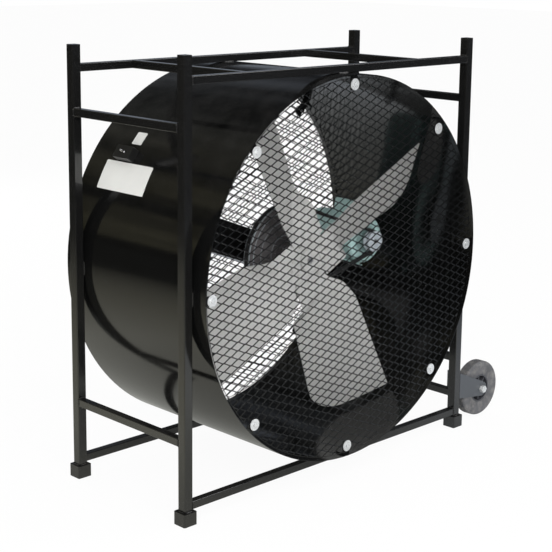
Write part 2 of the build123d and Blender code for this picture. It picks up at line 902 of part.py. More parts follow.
def junction_box():
    """The wiring box on the motor's shell, with its lid."""
    low = motor_radius - box_sink
    high = motor_radius + box_rise
    back_y = box_front_y + box_length
    body = Pos(low, (box_front_y + back_y) / 2, 0) * Rot(0, 90, 0) * extrude(
        RectangleRounded(box_width, box_length, box_corner), high - low
    )
    lid_width = box_width + 2 * box_lid_lip
    lid_length = box_length + 2 * box_lid_lip
    lid = Pos(high - box_lid, (box_front_y + back_y) / 2, 0) * Rot(0, 90, 0) * extrude(
        RectangleRounded(lid_width, lid_length, box_corner), box_lid
    )
    shell = along_y(Circle(motor_radius + weld_gap), box_front_y - box_lid_lip, back_y + box_lid_lip)
    body = body + lid - shell
    return at_motor(swing(box_angle) * body)


def motor_stator():
    """The wound ring inside the shell."""
    middle = (shell_front_y + shell_back_y) / 2
    ring = Circle(motor_radius - motor_wall - running_clearance) - Circle(stator_bore)
    return at_motor(along_y(ring, middle - stator_length / 2, middle + stator_length / 2))


def motor_rotor():
    """The motor's shaft with the rotor core pressed on it."""
    front = belt_y - sheave_width / 2 - motor_shaft_end
    back = motor_back_y - motor_shaft_end
    middle = (shell_front_y + shell_back_y) / 2
    core = stator_bore - air_gap
    return at_motor(turned([
        (0, front),
        (motor_shaft_radius, front),
        (motor_shaft_radius, middle - stator_length / 2),
        (core, middle - stator_length / 2),
        (core, middle + stator_length / 2),
        (motor_shaft_radius, middle + stator_length / 2),
        (motor_shaft_radius, back),
        (0, back),
    ]))


def at_wheel(shape):
    """Move a shape drawn about the Y axis to the front wheel's axle."""
    return Pos(wheel_x, 0, wheel_z) * shape


def wheel_tyre():
    """The front wheel's tyre, with grooves round its tread and rounded shoulders."""
    middle = (wheel_front_y + wheel_back_y) / 2
    profile = outline([
        (tyre_inner_radius, wheel_front_y + tyre_side_taper),
        (wheel_radius - tyre_side_band, wheel_front_y),
        (wheel_radius, wheel_front_y),
        (wheel_radius, wheel_back_y),
        (wheel_radius - tyre_side_band, wheel_back_y),
        (tyre_inner_radius, wheel_back_y - tyre_side_taper),
    ])
    corners = [corner for corner in profile.vertices() if corner.X > wheel_radius - tyre_side_taper]
    profile = fillet(corners, tyre_shoulder)
    tread = wheel_width - 2 * tyre_shoulder
    for number in range(tyre_groove_count):
        y = middle - tread / 2 + tread * (number + 0.5) / tyre_groove_count
        profile -= Pos(wheel_radius, y) * Rectangle(2 * tyre_groove_depth, tyre_groove_width)
    return at_wheel(revolve(profile, Axis.Y, 360))


def wheel_hub():
    """The front wheel's moulded hub: rim, spokes and a boss that fills the space between the plates."""
    middle = (wheel_front_y + wheel_back_y) / 2
    rim_outer = tyre_inner_radius - running_clearance
    rim_inner = rim_outer - hub_rim_thickness
    rim_front = wheel_front_y + tyre_side_taper
    rim = along_y(Circle(rim_outer) - Circle(rim_inner), rim_front, 2 * middle - rim_front)
    front = outer_plate_y + plate_thickness + plate_side_gap
    boss = along_y(Circle(hub_boss_radius), front, 2 * middle - front)
    reach = (rim_inner + rim_outer) / 2
    spokes = Sketch() + [
        Rot(0, 0, 360 * number / hub_spoke_count) * Pos(reach / 2, 0) * Rectangle(reach, hub_spoke)
        for number in range(hub_spoke_count)
    ]
    body = rim + boss + along_y(spokes, middle - hub_web / 2, middle + hub_web / 2)
    bore = along_y(Circle(axle_radius + running_clearance), front, 2 * middle - front)
    return at_wheel(body - bore)


def bracket_outline():
    """The bracket plate in front view: wide at the post and rounded about the axle."""
    nose = Pos(wheel_x, wheel_z) * Circle(plate_nose_radius)
    root_x = half_width
    dx = wheel_x - root_x
    upper = tangent_from(-dx, plate_root_high - wheel_z, plate_nose_radius, -1)
    lower = tangent_from(-dx, plate_root_low - wheel_z, plate_nose_radius, 1)
    flank = outline([
        (root_x, plate_root_low),
        (wheel_x + lower[0], wheel_z + lower[1]),
        (wheel_x, wheel_z),
        (wheel_x + upper[0], wheel_z + upper[1]),
        (root_x, plate_root_high),
    ])
    return flank + nose - Pos(wheel_x, wheel_z) * Circle(axle_radius + bolt_clearance)


def tangent_from(x, z, radius, side):
    """Where a line from a point touches a circle about zero, on one side of it."""
    distance = hypot(x, z)
    angle = atan2(z, x) + side * acos(radius / distance)
    return radius * cos(angle), radius * sin(angle)


def front_wheel_bracket():
    """The two plates on either side of the front wheel."""
    outer = along_y(bracket_outline(), outer_plate_y, outer_plate_y + plate_thickness)
    inner = along_y(bracket_outline(), inner_plate_y, inner_plate_y + plate_thickness)
    return [outer, inner]


def axle_bolt():
    """The front wheel's axle bolt, with its head on the inner plate."""
    head_y = inner_plate_y + plate_thickness
    head = along_y(hexagon(axle_hex_across), head_y, head_y + axle_head_height)
    shank = along_y(Circle(axle_radius), outer_plate_y - axle_nut_height - axle_tail, head_y)
    return at_wheel(head + shank)


def axle_nut():
    """The nut on the front wheel's axle bolt."""
    ring = hexagon(axle_hex_across) - Circle(axle_radius + running_clearance)
    return at_wheel(along_y(ring, outer_plate_y - axle_nut_height, outer_plate_y))


def on_flank(shape):
    """Move a shape drawn outwards along +X to the switch's place on the drum."""
    return at_fan(swing(switch_angle) * Pos(0, switch_y, 0) * shape)


def toggle_pivot_radius():
    """How far the toggle's pivot lies from the drum's axis."""
    return drum_radius + switch_height - toggle_pivot_depth


def switch_box():
    """A low box on the drum's flank, hollow, with a slot in its lid for the toggle."""
    low = drum_radius * cos(switch_width / 2 / drum_radius) - switch_wall
    high = drum_radius + switch_height
    inner_high = high - switch_wall
    body = Pos(low, 0, 0) * Rot(0, 90, 0) * extrude(
        RectangleRounded(switch_width, switch_length, switch_corner), high - low
    )
    body -= Pos(low, 0, 0) * Rot(0, 90, 0) * extrude(
        Rectangle(switch_width - 2 * switch_wall, switch_length - 2 * switch_wall), inner_high - low
    )
    slot = Pos(inner_high, 0, 0) * Rot(0, 90, 0) * extrude(
        RectangleRounded(toggle_slot_width, toggle_slot_length, toggle_slot_corner), switch_wall
    )
    drum = along_y(Circle(drum_radius + weld_gap), -switch_length, switch_length)
    pin_reach = switch_width / 2 - switch_wall / 2
    pin = Pos(toggle_pivot_radius(), 0, -pin_reach) * extrude(Circle(toggle_pin_radius), 2 * pin_reach)
    return on_flank(body - slot - drum + pin)


def switch_toggle():
    """The lever on its cross pin, leaning to its off side."""
    lever = extrude(Circle(toggle_radius), toggle_length)
    lever = chamfer(lever.faces().sort_by(Axis.Z)[-1].edges(), toggle_chamfer)
    lever = Rot(0, 0, toggle_tilt) * Rot(0, 90, 0) * lever
    half_barrel = toggle_slot_width / 2 - toggle_side_gap
    barrel = Pos(0, 0, -half_barrel) * extrude(Circle(toggle_barrel_radius), 2 * half_barrel)
    bore = Pos(0, 0, -half_barrel) * extrude(Circle(toggle_pin_radius + running_clearance), 2 * half_barrel)
    return on_flank(Pos(toggle_pivot_radius(), 0, 0) * (barrel + lever - bore))


def frame_pieces():
    """The welded frame, tube by tube."""
    pieces = {}
    for side_x, side in ((-1, "left"), (1, "right")):
        for side_y, end in ((-1, "front"), (1, "rear")):
            pieces[f"post_{end}_{side}"] = post(side_x, side_y)
            pieces[f"foot_socket_{end}_{side}"] = foot_socket(side_x, side_y)
        pieces[f"upper_side_rail_{side}"] = side_rail(side_x, upper_side_rail_z)
        pieces[f"lower_side_rail_{side}"] = side_rail(side_x, lower_side_rail_z)
    for side_y, end in ((-1, "front"), (1, "rear")):
        pieces[f"top_rail_{end}"] = long_rail(side_y, top_rail_z)
        pieces[f"bottom_rail_{end}"] = long_rail(side_y, bottom_rail_z)
    pieces["axle_rail"] = side_rail(1, axle_rail_z)
    pieces["top_cross_members"] = Compound(children=[
        cross_member(left_cross_member_x),
        cross_member(right_cross_member_x),
    ])
    return pieces


def drum_pieces():
    """The drum with its guards and what fastens them."""
    guard = front_guard()
    return {
        "drum_shell": drum_shell(),
        "front_guard": guard,
        "rear_guard": mirror(guard, about=Plane.XZ),
        "guard_tabs": round_the_drum(guard_tab()),
        "guard_bolts": round_the_drum(guard_bolt()),
        "guard_washers": round_the_drum(guard_washer()),
        "switch_box": switch_box(),
        "switch_toggle": switch_toggle(),
    }


def drive_pieces():
    """What carries and turns the fan."""
    pieces = {
        "support_channel": support_channel(),
        "rear_bearing_plate": rear_bearing_plate(),
        "front_bearing_housing": front_bearing_housing(),
        "rear_bearing_housing": rear_bearing_housing(),
        "bearing_bolts": bearing_bolts(),
        "bearing_sleeves": bearing_sleeves(),
        "fan_shaft": fan_shaft(),
        "fan_hub": fan_hub(),
        "blade_rivets": blade_rivets(),
        "driven_sheave": driven_sheave(),
        "drive_sheave": drive_sheave(),
        "v_belt": v_belt(),
        "motor_shell": motor_shell(),
        "front_motor_bell": front_motor_bell(),
        "rear_motor_bell": rear_motor_bell(),
        "motor_cradle": motor_cradle(),
        "motor_bolts": motor_bolts(),
        "motor_stator": motor_stator(),
        "motor_rotor": motor_rotor(),
        "junction_box": junction_box(),
    }
    one_blade = blade()
    for number, angle in enumerate(blade_angles(blade_first_angle), start=1):
        pieces[f"blade_{number}"] = at_fan(swing(angle) * one_blade)
    return pieces


def wheel_pieces():
    """The two wheels with their brackets and axles, the rear ones mirrored from the front."""
    pieces = {}
    bolts = []
    nuts = []
    for end in ("front", "rear"):
        def place(shape, rear=(end == "rear")):
            return mirror(shape, about=Plane.XZ) if rear else shape

        pieces[f"wheel_tyre_{end}"] = place(wheel_tyre())
        pieces[f"wheel_hub_{end}"] = place(wheel_hub())
        pieces[f"wheel_bracket_{end}"] = Compound(children=[place(plate) for plate in front_wheel_bracket()])
        bolts.append(place(axle_bolt()))
        nuts.append(place(axle_nut()))
    pieces["axle_bolts"] = Compound(children=bolts)
    pieces["axle_nuts"] = Compound(children=nuts)
    return pieces


os.makedirs("parts", exist_ok=True)
all_pieces = frame_pieces() | drum_pieces() | drive_pieces() | wheel_pieces()
for node_name, node_shape in all_pieces.items():
    export_step(node_shape, f"parts/{node_name}.step")
pitch_offset = belt_above_rim - belt_pitch_depth
drive_ratio = (driven_sheave_radius + pitch_offset) / (drive_sheave_radius + pitch_offset)
print(len(all_pieces), "nodes; drive ratio", round(drive_ratio, 4))
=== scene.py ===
import math

import bpy
from mathutils import Matrix, Vector


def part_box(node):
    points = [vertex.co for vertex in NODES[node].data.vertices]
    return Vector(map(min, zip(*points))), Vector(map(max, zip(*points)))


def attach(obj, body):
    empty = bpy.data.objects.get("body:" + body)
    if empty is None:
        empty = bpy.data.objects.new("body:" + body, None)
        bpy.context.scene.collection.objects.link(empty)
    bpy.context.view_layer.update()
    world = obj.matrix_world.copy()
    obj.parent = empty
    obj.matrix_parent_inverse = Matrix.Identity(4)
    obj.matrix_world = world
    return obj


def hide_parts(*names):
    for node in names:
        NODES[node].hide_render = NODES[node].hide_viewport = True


bl_info = {
    "name": "Drum Fan",
    "version": (1, 0, 0),
    "blender": (4, 5, 0),
    "location": "3D View > Sidebar > Drum Fan",
    "description": "Dresses the packed drum fan with mesh guards, welds, bare plates, finishes and studio",
    "category": "Add Mesh",
}

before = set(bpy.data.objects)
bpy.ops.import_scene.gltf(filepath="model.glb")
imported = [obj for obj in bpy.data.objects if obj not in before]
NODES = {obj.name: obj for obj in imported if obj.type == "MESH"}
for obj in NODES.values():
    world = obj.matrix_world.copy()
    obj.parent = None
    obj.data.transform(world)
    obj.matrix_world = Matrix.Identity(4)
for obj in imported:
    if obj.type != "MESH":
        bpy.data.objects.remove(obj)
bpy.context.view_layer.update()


# ---------------------------------------------------------------- settings

class DrumFanGuardSettings(bpy.types.PropertyGroup):
    """Sizes of the expanded-metal guards."""

    long_pitch: bpy.props.FloatProperty(
        name="Long Pitch", description="Width of one opening of the mesh, bond to bond",
        default=0.059, min=0.02, max=0.15, unit="LENGTH",
    )
    short_pitch: bpy.props.FloatProperty(
        name="Short Pitch", description="Height of one opening of the mesh, bond to bond",
        default=0.0263, min=0.01, max=0.08, unit="LENGTH",
    )
    mesh_turn: bpy.props.FloatProperty(
        name="Mesh Turn", description="How far the openings lean away from level",
        default=math.radians(2.0), min=-1.6, max=1.6, unit="ROTATION",
    )
    mesh_shift: bpy.props.FloatVectorProperty(
        name="Mesh Shift", description="Where the middle opening lies, sideways and upwards from the axis",
        default=(0.0062, 0.0035), size=2, unit="LENGTH",
    )
    bond_length: bpy.props.FloatProperty(
        name="Bond Length", description="Length of the level metal where four strands meet",
        default=0.005, min=0.001, max=0.02, unit="LENGTH",
    )
    strand_width: bpy.props.FloatProperty(
        name="Strand Width", description="Width of one strand seen from the front",
        default=0.0030, min=0.001, max=0.006, unit="LENGTH",
    )
    strand_lean: bpy.props.FloatProperty(
        name="Strand Lean", description="How far one edge of a strand stands in front of the other",
        default=0.0012, min=0.0, max=0.004, unit="LENGTH",
    )
    sheet_thickness: bpy.props.FloatProperty(
        name="Sheet Thickness", description="Thickness of the expanded sheet",
        default=0.0016, min=0.0005, max=0.004, unit="LENGTH",
    )
    smallest_opening: bpy.props.FloatProperty(
        name="Smallest Opening",
        description="Cut cells at the rim that are smaller than this stay closed, in mm2",
        default=90.0, min=10.0, max=400.0,
    )


class DrumFanWeldSettings(bpy.types.PropertyGroup):
    """Sizes of the weld beads."""

    bead_radius: bpy.props.FloatProperty(
        name="Bead Radius", description="Radius of a weld bead",
        default=0.0032, min=0.001, max=0.006, unit="LENGTH",
    )
    ripple_pitch: bpy.props.FloatProperty(
        name="Ripple Pitch", description="Distance between the ripples of a bead",
        default=0.0024, min=0.001, max=0.006, unit="LENGTH",
    )
    bead_length: bpy.props.FloatProperty(
        name="Bead Length", description="Length of the welds round a tube's end",
        default=0.022, min=0.005, max=0.05, unit="LENGTH",
    )
    tack_length: bpy.props.FloatProperty(
        name="Tack Length", description="Length of the welds between the drum and the frame",
        default=0.042, min=0.01, max=0.1, unit="LENGTH",
    )


class DrumFanPlateSettings(bpy.types.PropertyGroup):
    """Sizes of the two bare plates on the drum; angles run from +X towards +Z."""

    large_span: bpy.props.FloatVectorProperty(
        name="Large Plate Span", description="Angles at which the large plate begins and ends",
        default=(math.radians(146.9), math.radians(155.8)), size=2, unit="ROTATION",
    )
    large_reach: bpy.props.FloatVectorProperty(
        name="Large Plate Reach", description="Where the large plate begins and ends along the drum",
        default=(0.020, 0.248), size=2, unit="LENGTH",
    )
    small_span: bpy.props.FloatVectorProperty(
        name="Small Plate Span", description="Angles at which the small plate begins and ends",
        default=(math.radians(136.6), math.radians(140.8)), size=2, unit="ROTATION",
    )
    small_reach: bpy.props.FloatVectorProperty(
        name="Small Plate Reach", description="Where the small plate begins and ends along the drum",
        default=(0.131, 0.177), size=2, unit="LENGTH",
    )
    corner: bpy.props.FloatProperty(
        name="Corner", description="Radius of the plates' corners",
        default=0.004, min=0.0, max=0.02, unit="LENGTH",
    )
    thickness: bpy.props.FloatProperty(
        name="Thickness", description="Thickness of the plates",
        default=0.0009, min=0.0002, max=0.003, unit="LENGTH",
    )
    stand_off: bpy.props.FloatProperty(
        name="Stand Off", description="Gap between a plate and the drum",
        default=0.0003, min=0.0, max=0.002, unit="LENGTH",
    )


def colour(name, description, default):
    """A colour property."""
    return bpy.props.FloatVectorProperty(
        name=name, description=description, default=default, subtype="COLOR", size=4, min=0.0, max=1.0,
    )


class DrumFanFinishSettings(bpy.types.PropertyGroup):
    """Colours of the fan's finishes."""

    gloss_black: colour("Gloss Black", "Paint of the drum, guards and channel", (0.0032, 0.0033, 0.0033, 1))
    frame_black: colour("Frame Black", "Paint of the welded tube frame", (0.006, 0.006, 0.006, 1))
    bracket_grey: colour("Bracket Grey", "Paint of the wheels' brackets", (0.055, 0.06, 0.068, 1))
    blade_grey: colour("Blade Grey", "Bare sheet of the blades", (0.46, 0.46, 0.448, 1))
    motor_green: colour("Motor Green", "Enamel of the motor", (0.42, 0.60, 0.585, 1))
    sheave_grey: colour("Sheave Grey", "Cast iron of the large sheave", (0.18, 0.17, 0.173, 1))
    turned_grey: colour("Turned Grey", "Turned edges and faces of the sheaves", (0.60, 0.66, 0.71, 1))
    zinc: colour("Zinc", "Plated bolts, nuts and washers", (0.76, 0.775, 0.78, 1))
    rubber: colour("Rubber", "The wheels' tyres", (0.075, 0.075, 0.08, 1))
    plate_white: colour("Plate White", "Enamel of the bare plates on the drum", (0.70, 0.70, 0.67, 1))
    dust: colour("Dust", "Fine dust on faces that look up", (0.22, 0.21, 0.2, 1))


class DrumFanStageSettings(bpy.types.PropertyGroup):
    """Camera and light."""

    lens: bpy.props.FloatProperty(
        name="Lens", description="Focal length on a 36 mm sensor",
        default=89.14, min=20.0, max=300.0, unit="CAMERA",
    )
    key_power: bpy.props.FloatProperty(
        name="Key Power", description="Power of the lamp on the left",
        default=100.0, min=0.0, max=2000.0, unit="POWER",
    )
    fill_power: bpy.props.FloatProperty(
        name="Fill Power", description="Power of the high lamp on the right",
        default=60.0, min=0.0, max=2000.0, unit="POWER",
    )
    front_power: bpy.props.FloatProperty(
        name="Front Power", description="Power of the lamp beside the camera",
        default=175.0, min=0.0, max=2000.0, unit="POWER",
    )
    back_power: bpy.props.FloatProperty(
        name="Back Power", description="Power of the lamp behind the fan",
        default=80.0, min=0.0, max=2000.0, unit="POWER",
    )
    world_fill: bpy.props.FloatProperty(
        name="World Fill", description="Strength of the even light from all round",
        default=0.68, min=0.0, max=3.0,
    )


class DrumFanSettings(bpy.types.PropertyGroup):
    """All settings of the fan."""

    guard: bpy.props.PointerProperty(type=DrumFanGuardSettings)
    weld: bpy.props.PointerProperty(type=DrumFanWeldSettings)
    plate: bpy.props.PointerProperty(type=DrumFanPlateSettings)
    finish: bpy.props.PointerProperty(type=DrumFanFinishSettings)
    stage: bpy.props.PointerProperty(type=DrumFanStageSettings)


# ---------------------------------------------------------------- modelling helpers

QUARTER = math.pi / 2


def select_only(*objects):
    """Select these objects alone and make the first one active."""
    bpy.ops.object.select_all(action="DESELECT")
    for thing in objects:
        thing.select_set(True)
    bpy.context.view_layer.objects.active = objects[0]


def edit(thing):
    """Open an object in edit mode with nothing selected."""
    select_only(thing)
    bpy.ops.object.mode_set(mode="EDIT")
    bpy.ops.mesh.select_mode(type="VERT")
    bpy.ops.mesh.select_all(action="DESELECT")


def done():
    """Leave edit mode."""
    bpy.ops.object.mode_set(mode="OBJECT")


def pick(kind, test):
    """In edit mode, select the vertices, edges or faces that pass a test, and nothing else."""
    thing = bpy.context.object
    bpy.ops.mesh.select_mode(type={"vertices": "VERT", "edges": "EDGE", "polygons": "FACE"}[kind])
    bpy.ops.mesh.select_all(action="DESELECT")
    bpy.ops.object.mode_set(mode="OBJECT")
    mesh = thing.data
    for item in getattr(mesh, kind):
        item.select = bool(test(item, mesh))
    bpy.ops.object.mode_set(mode="EDIT")


def run_along_x(edge, mesh):
    """How far an edge runs along X."""
    start, end = (mesh.vertices[corner].co for corner in edge.vertices)
    return abs(start.x - end.x)


def named(name):
    """Name the new active object and its mesh, and give it back."""
    thing = bpy.context.object
    thing.name = name
    thing.data.name = name
    return thing


def settle(thing):
    """Put the object's place into its mesh."""
    thing.data.transform(thing.matrix_basis)
    thing.matrix_basis = Matrix.Identity(4)
    return thing


def apply_modifier(thing, kind, **values):
    """Add a modifier, set it and apply it."""
    select_only(thing)
    modifier = thing.modifiers.new(kind.title(), kind)
    for key, value in values.items():
        setattr(modifier, key, value)
    bpy.ops.object.modifier_apply(modifier=modifier.name)


def face_outwards():
    """In edit mode, turn every face outwards."""
    bpy.ops.mesh.select_all(action="SELECT")
    bpy.ops.mesh.normals_make_consistent(inside=False)


def placed_copy(thing, matrix):
    """A copy with its own mesh, moved by a matrix."""
    other = thing.copy()
    other.data = thing.data.copy()
    other.data.transform(matrix)
    bpy.context.scene.collection.objects.link(other)
    return other


def joined(things, name):
    """Join objects into one and name it."""
    select_only(*things)
    bpy.ops.object.join()
    return named(name)


def smooth(thing, degrees):
    """Smooth the shading up to an angle."""
    select_only(thing)
    bpy.ops.object.shade_smooth_by_angle(angle=math.radians(degrees))


def dress(thing, body, material):
    """Give a new piece its body and its material."""
    thing.data.materials.clear()
    thing.data.materials.append(material)
    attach(thing, body)


# ---------------------------------------------------------------- material helpers

FLOAT = "NodeSocketFloat"
COLOUR = "NodeSocketColor"
VECTOR = "NodeSocketVector"

NODE_COLUMNS = 8
NODE_WIDTH = 220
NODE_HEIGHT = 260

# the colour sockets of a Mix node
MIX_FIRST = 6
MIX_SECOND = 7
MIX_RESULT = 2

NOISE_LOW = 0.3
NOISE_HIGH = 0.7
CAST_PITS = 420.0
RIPPLE_SHARE = 0.35
WAVE_SHARE = 0.9
LINE_SHARE = 0.45
SLOW_SHARE = 0.55
GRAIN_STRETCH = (60.0, 60.0, 1400.0)
# where soft patches in a noise begin and are full
SOFT_EDGES = (0.35, 0.7)
PATCH_EDGES = (0.3, 0.75)

# how high the bumps of each surface stand
PAINT_DEPTH = 0.00004
DRAWN_DEPTH = 0.00002
CAST_DEPTH = 0.0002
RIDGE_DEPTH = 0.002
RUBBER_DEPTH = 0.00008
PLASTIC_DEPTH = 0.00004

# how much rougher the dark lines of drawn metal are, and how much smoother the light ones
DARK_ROUGHER = 0.1
LIGHT_SMOOTHER = 0.06

WHITE = (1, 1, 1, 1)
GRAIN_DARK = (0.02, 0.02, 0.022, 1)
# colour of the belt dust and painted shade round the small sheave
DUST_AND_SHADE = (0.03, 0.045, 0.042, 1)
DRIED_DIRT = (0.3, 0.29, 0.27, 1)

# rings of turned metal on each sheave: radius, half width and height as a share
LARGE_SHEAVE_EDGES = (
    (0.1708, 0.0026, 1.0),
    (0.1515, 0.0026, 1.0),
    (0.1435, 0.0022, 0.8),
    (0.1100, 0.0018, 0.6),
    (0.0625, 0.0020, 0.6),
)
SMALL_SHEAVE_EDGES = (
    (0.0365, 0.0016, 0.6),
    (0.0290, 0.0014, 0.5),
    (0.0190, 0.0012, 0.5),
    (0.0120, 0.0012, 0.5),
)
SMALL_SHEAVE_REACH = 0.045
# how far out the belt dust and painted shade reach round the small sheave
DUST_AND_SHADE_REACH = 0.058


def shaded(base, factor):
    """A colour made darker or lighter."""
    return tuple(min(1.0, factor * part) for part in base[:3]) + (1,)


class Sheet:
    """A node tree with short ways to add and join nodes."""

    def __init__(self, tree):
        self.tree = tree
        self.count = 0

    def add(self, kind, inputs=None, **settings):
        """Add a node, link or set its inputs and set its own settings."""
        made = self.tree.nodes.new(kind)
        row, column = divmod(self.count, NODE_COLUMNS)
        made.location = (NODE_WIDTH * column, -NODE_HEIGHT * row)
        self.count += 1
        for key, value in settings.items():
            setattr(made, key, value)
        for key, value in (inputs or {}).items():
            self.feed(made.inputs[key], value)
        return made

    def feed(self, socket, value):
        """Link a socket, or set its constant."""
        if isinstance(value, bpy.types.NodeSocket):
            self.tree.links.new(value, socket)
        else:
            socket.default_value = value

    def noise(self, vector, scale, detail=3.0, roughness=0.5):
        """A noise value between 0 and 1."""
        made = self.add("ShaderNodeTexNoise", {
            "Vector": vector, "Scale": scale, "Detail": detail, "Roughness": roughness,
        })
        return made.outputs["Fac"]

    def spread(self, value, low, high, out_low=0.0, out_high=1.0):
        """Map a range of a value to another range, clamped."""
        made = self.add("ShaderNodeMapRange", {
            "Value": value, "From Min": low, "From Max": high, "To Min": out_low, "To Max": out_high,
        })
        return made.outputs["Result"]

    def from_noise(self, value, out_low=0.0, out_high=1.0):
        """Map the range that most of a noise lies in to another range, clamped."""
        return self.spread(value, NOISE_LOW, NOISE_HIGH, out_low, out_high)

    def math(self, operation, first, second=0.0):
        """One sum."""
        return self.add("ShaderNodeMath", {0: first, 1: second}, operation=operation).outputs[0]

    def blend(self, share, first, second):
        """Mix two colours."""
        made = self.add("ShaderNodeMix", {"Factor": share}, data_type="RGBA")
        self.feed(made.inputs[MIX_FIRST], first)
        self.feed(made.inputs[MIX_SECOND], second)
        return made.outputs[MIX_RESULT]

    def mix_shaders(self, share, first, second):
        """Mix two shaders."""
        return self.add("ShaderNodeMixShader", {0: share, 1: first, 2: second}).outputs[0]

    def scaled(self, vector, scale):
        """A vector stretched along its axes."""
        return self.add("ShaderNodeMapping", {"Vector": vector, "Scale": scale}).outputs["Vector"]

    def part(self, vector, axis):
        """One part of a vector: X, Y or Z."""
        return self.add("ShaderNodeSeparateXYZ", {"Vector": vector}).outputs[axis]

    def length(self, vector):
        """A vector's length."""
        return self.add("ShaderNodeVectorMath", {0: vector}, operation="LENGTH").outputs["Value"]

    def from_axis(self, place, node):
        """Distance from a turned node's axis, which runs along Y."""
        low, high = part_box(node)
        middle = (low + high) / 2
        moved = self.add("ShaderNodeMapping", {
            "Vector": place, "Location": (-middle.x, 0, -middle.z), "Scale": (1, 0, 1),
        })
        return self.length(moved.outputs["Vector"])

    def ring_lines(self, distance, rings):
        """A height that rises to each ring's share along its radius."""
        lines = []
        for radius, half_width, share in rings:
            off = self.math("ABSOLUTE", self.math("SUBTRACT", distance, radius))
            lines.append(self.spread(off, half_width, 0.0, 0.0, share))
        height = lines[0]
        for line in lines[1:]:
            height = self.math("MAXIMUM", height, line)
        return height

    def mirrored_rays(self, rays):
        """1 for rays that a reflection or a clear surface sends out."""
        return self.math("MAXIMUM", rays["Is Glossy Ray"], rays["Is Transmission Ray"])


def group(name, inputs, outputs):
    """A new shader group as (tree, sheet, input node, output node)."""
    tree = bpy.data.node_groups.new(name, "ShaderNodeTree")
    for label, kind, default in inputs:
        socket = tree.interface.new_socket(name=label, in_out="INPUT", socket_type=kind)
        if default is not None:
            socket.default_value = default
    for label, kind in outputs:
        tree.interface.new_socket(name=label, in_out="OUTPUT", socket_type=kind)
    sheet = Sheet(tree)
    return tree, sheet, sheet.add("NodeGroupInput"), sheet.add("NodeGroupOutput")


def paint_skin_group():
    """Sprayed paint: fine ripple, slow waves and uneven gloss."""
    tree, sheet, given, result = group(
        "Paint Skin",
        [("Vector", VECTOR, None), ("Ripple Scale", FLOAT, 260.0), ("Gloss", FLOAT, 0.12),
         ("Gloss Spread", FLOAT, 0.08)],
        [("Roughness", FLOAT), ("Height", FLOAT)],
    )
    place = given.outputs["Vector"]
    ripple = sheet.noise(place, scale=given.outputs["Ripple Scale"], detail=2.0)
    waves = sheet.noise(place, scale=18.0, detail=2.0)
    patches = sheet.noise(place, scale=5.5, detail=4.0, roughness=0.6)
    ripple = sheet.math("MULTIPLY", ripple, RIPPLE_SHARE)
    waves = sheet.math("MULTIPLY", waves, WAVE_SHARE)
    spread = sheet.math("MULTIPLY", sheet.spread(patches, *PATCH_EDGES), given.outputs["Gloss Spread"])
    sheet.feed(result.inputs["Roughness"], sheet.math("ADD", given.outputs["Gloss"], spread))
    sheet.feed(result.inputs["Height"], sheet.math("ADD", ripple, waves))
    return tree


def dust_group():
    """Dust that settles on faces that look up, in soft patches."""
    tree, sheet, given, result = group(
        "Settled Dust",
        [("Vector", VECTOR, None), ("Normal", VECTOR, None), ("Colour", COLOUR, (0, 0, 0, 1)),
         ("Dust", COLOUR, (0.2, 0.2, 0.2, 1)), ("Amount", FLOAT, 0.1)],
        [("Colour", COLOUR), ("Mask", FLOAT)],
    )
    facing = sheet.spread(sheet.part(given.outputs["Normal"], "Z"), 0.15, 1.0)
    clouds = sheet.noise(given.outputs["Vector"], scale=14.0, detail=5.0, roughness=0.65)
    patches = sheet.spread(clouds, 0.35, 0.75)
    mask = sheet.math("MULTIPLY", sheet.math("MULTIPLY", facing, patches), given.outputs["Amount"])
    sheet.feed(result.inputs["Colour"], sheet.blend(mask, given.outputs["Colour"], given.outputs["Dust"]))
    sheet.feed(result.inputs["Mask"], mask)
    return tree


def grain_group():
    """Fine drawn lines in metal, level all round, with slow tone changes."""
    tree, sheet, given, result = group(
        "Drawn Grain",
        [("Vector", VECTOR, None), ("Colour", COLOUR, (0.5, 0.5, 0.5, 1)), ("Depth", FLOAT, 0.2)],
        [("Colour", COLOUR), ("Height", FLOAT), ("Tone", FLOAT)],
    )
    stretched = sheet.scaled(given.outputs["Vector"], GRAIN_STRETCH)
    lines = sheet.noise(stretched, scale=1.0, detail=3.0, roughness=0.6)
    slow = sheet.noise(given.outputs["Vector"], scale=7.0, detail=4.0, roughness=0.55)
    fine = sheet.math("MULTIPLY", lines, LINE_SHARE)
    tone = sheet.math("ADD", fine, sheet.math("MULTIPLY", slow, SLOW_SHARE))
    darker = sheet.math("MULTIPLY", sheet.spread(tone, 0.35, 0.65, 1.0, 0.0), given.outputs["Depth"])
    sheet.feed(result.inputs["Colour"], sheet.blend(darker, given.outputs["Colour"], GRAIN_DARK))
    sheet.feed(result.inputs["Height"], lines)
    sheet.feed(result.inputs["Tone"], tone)
    return tree


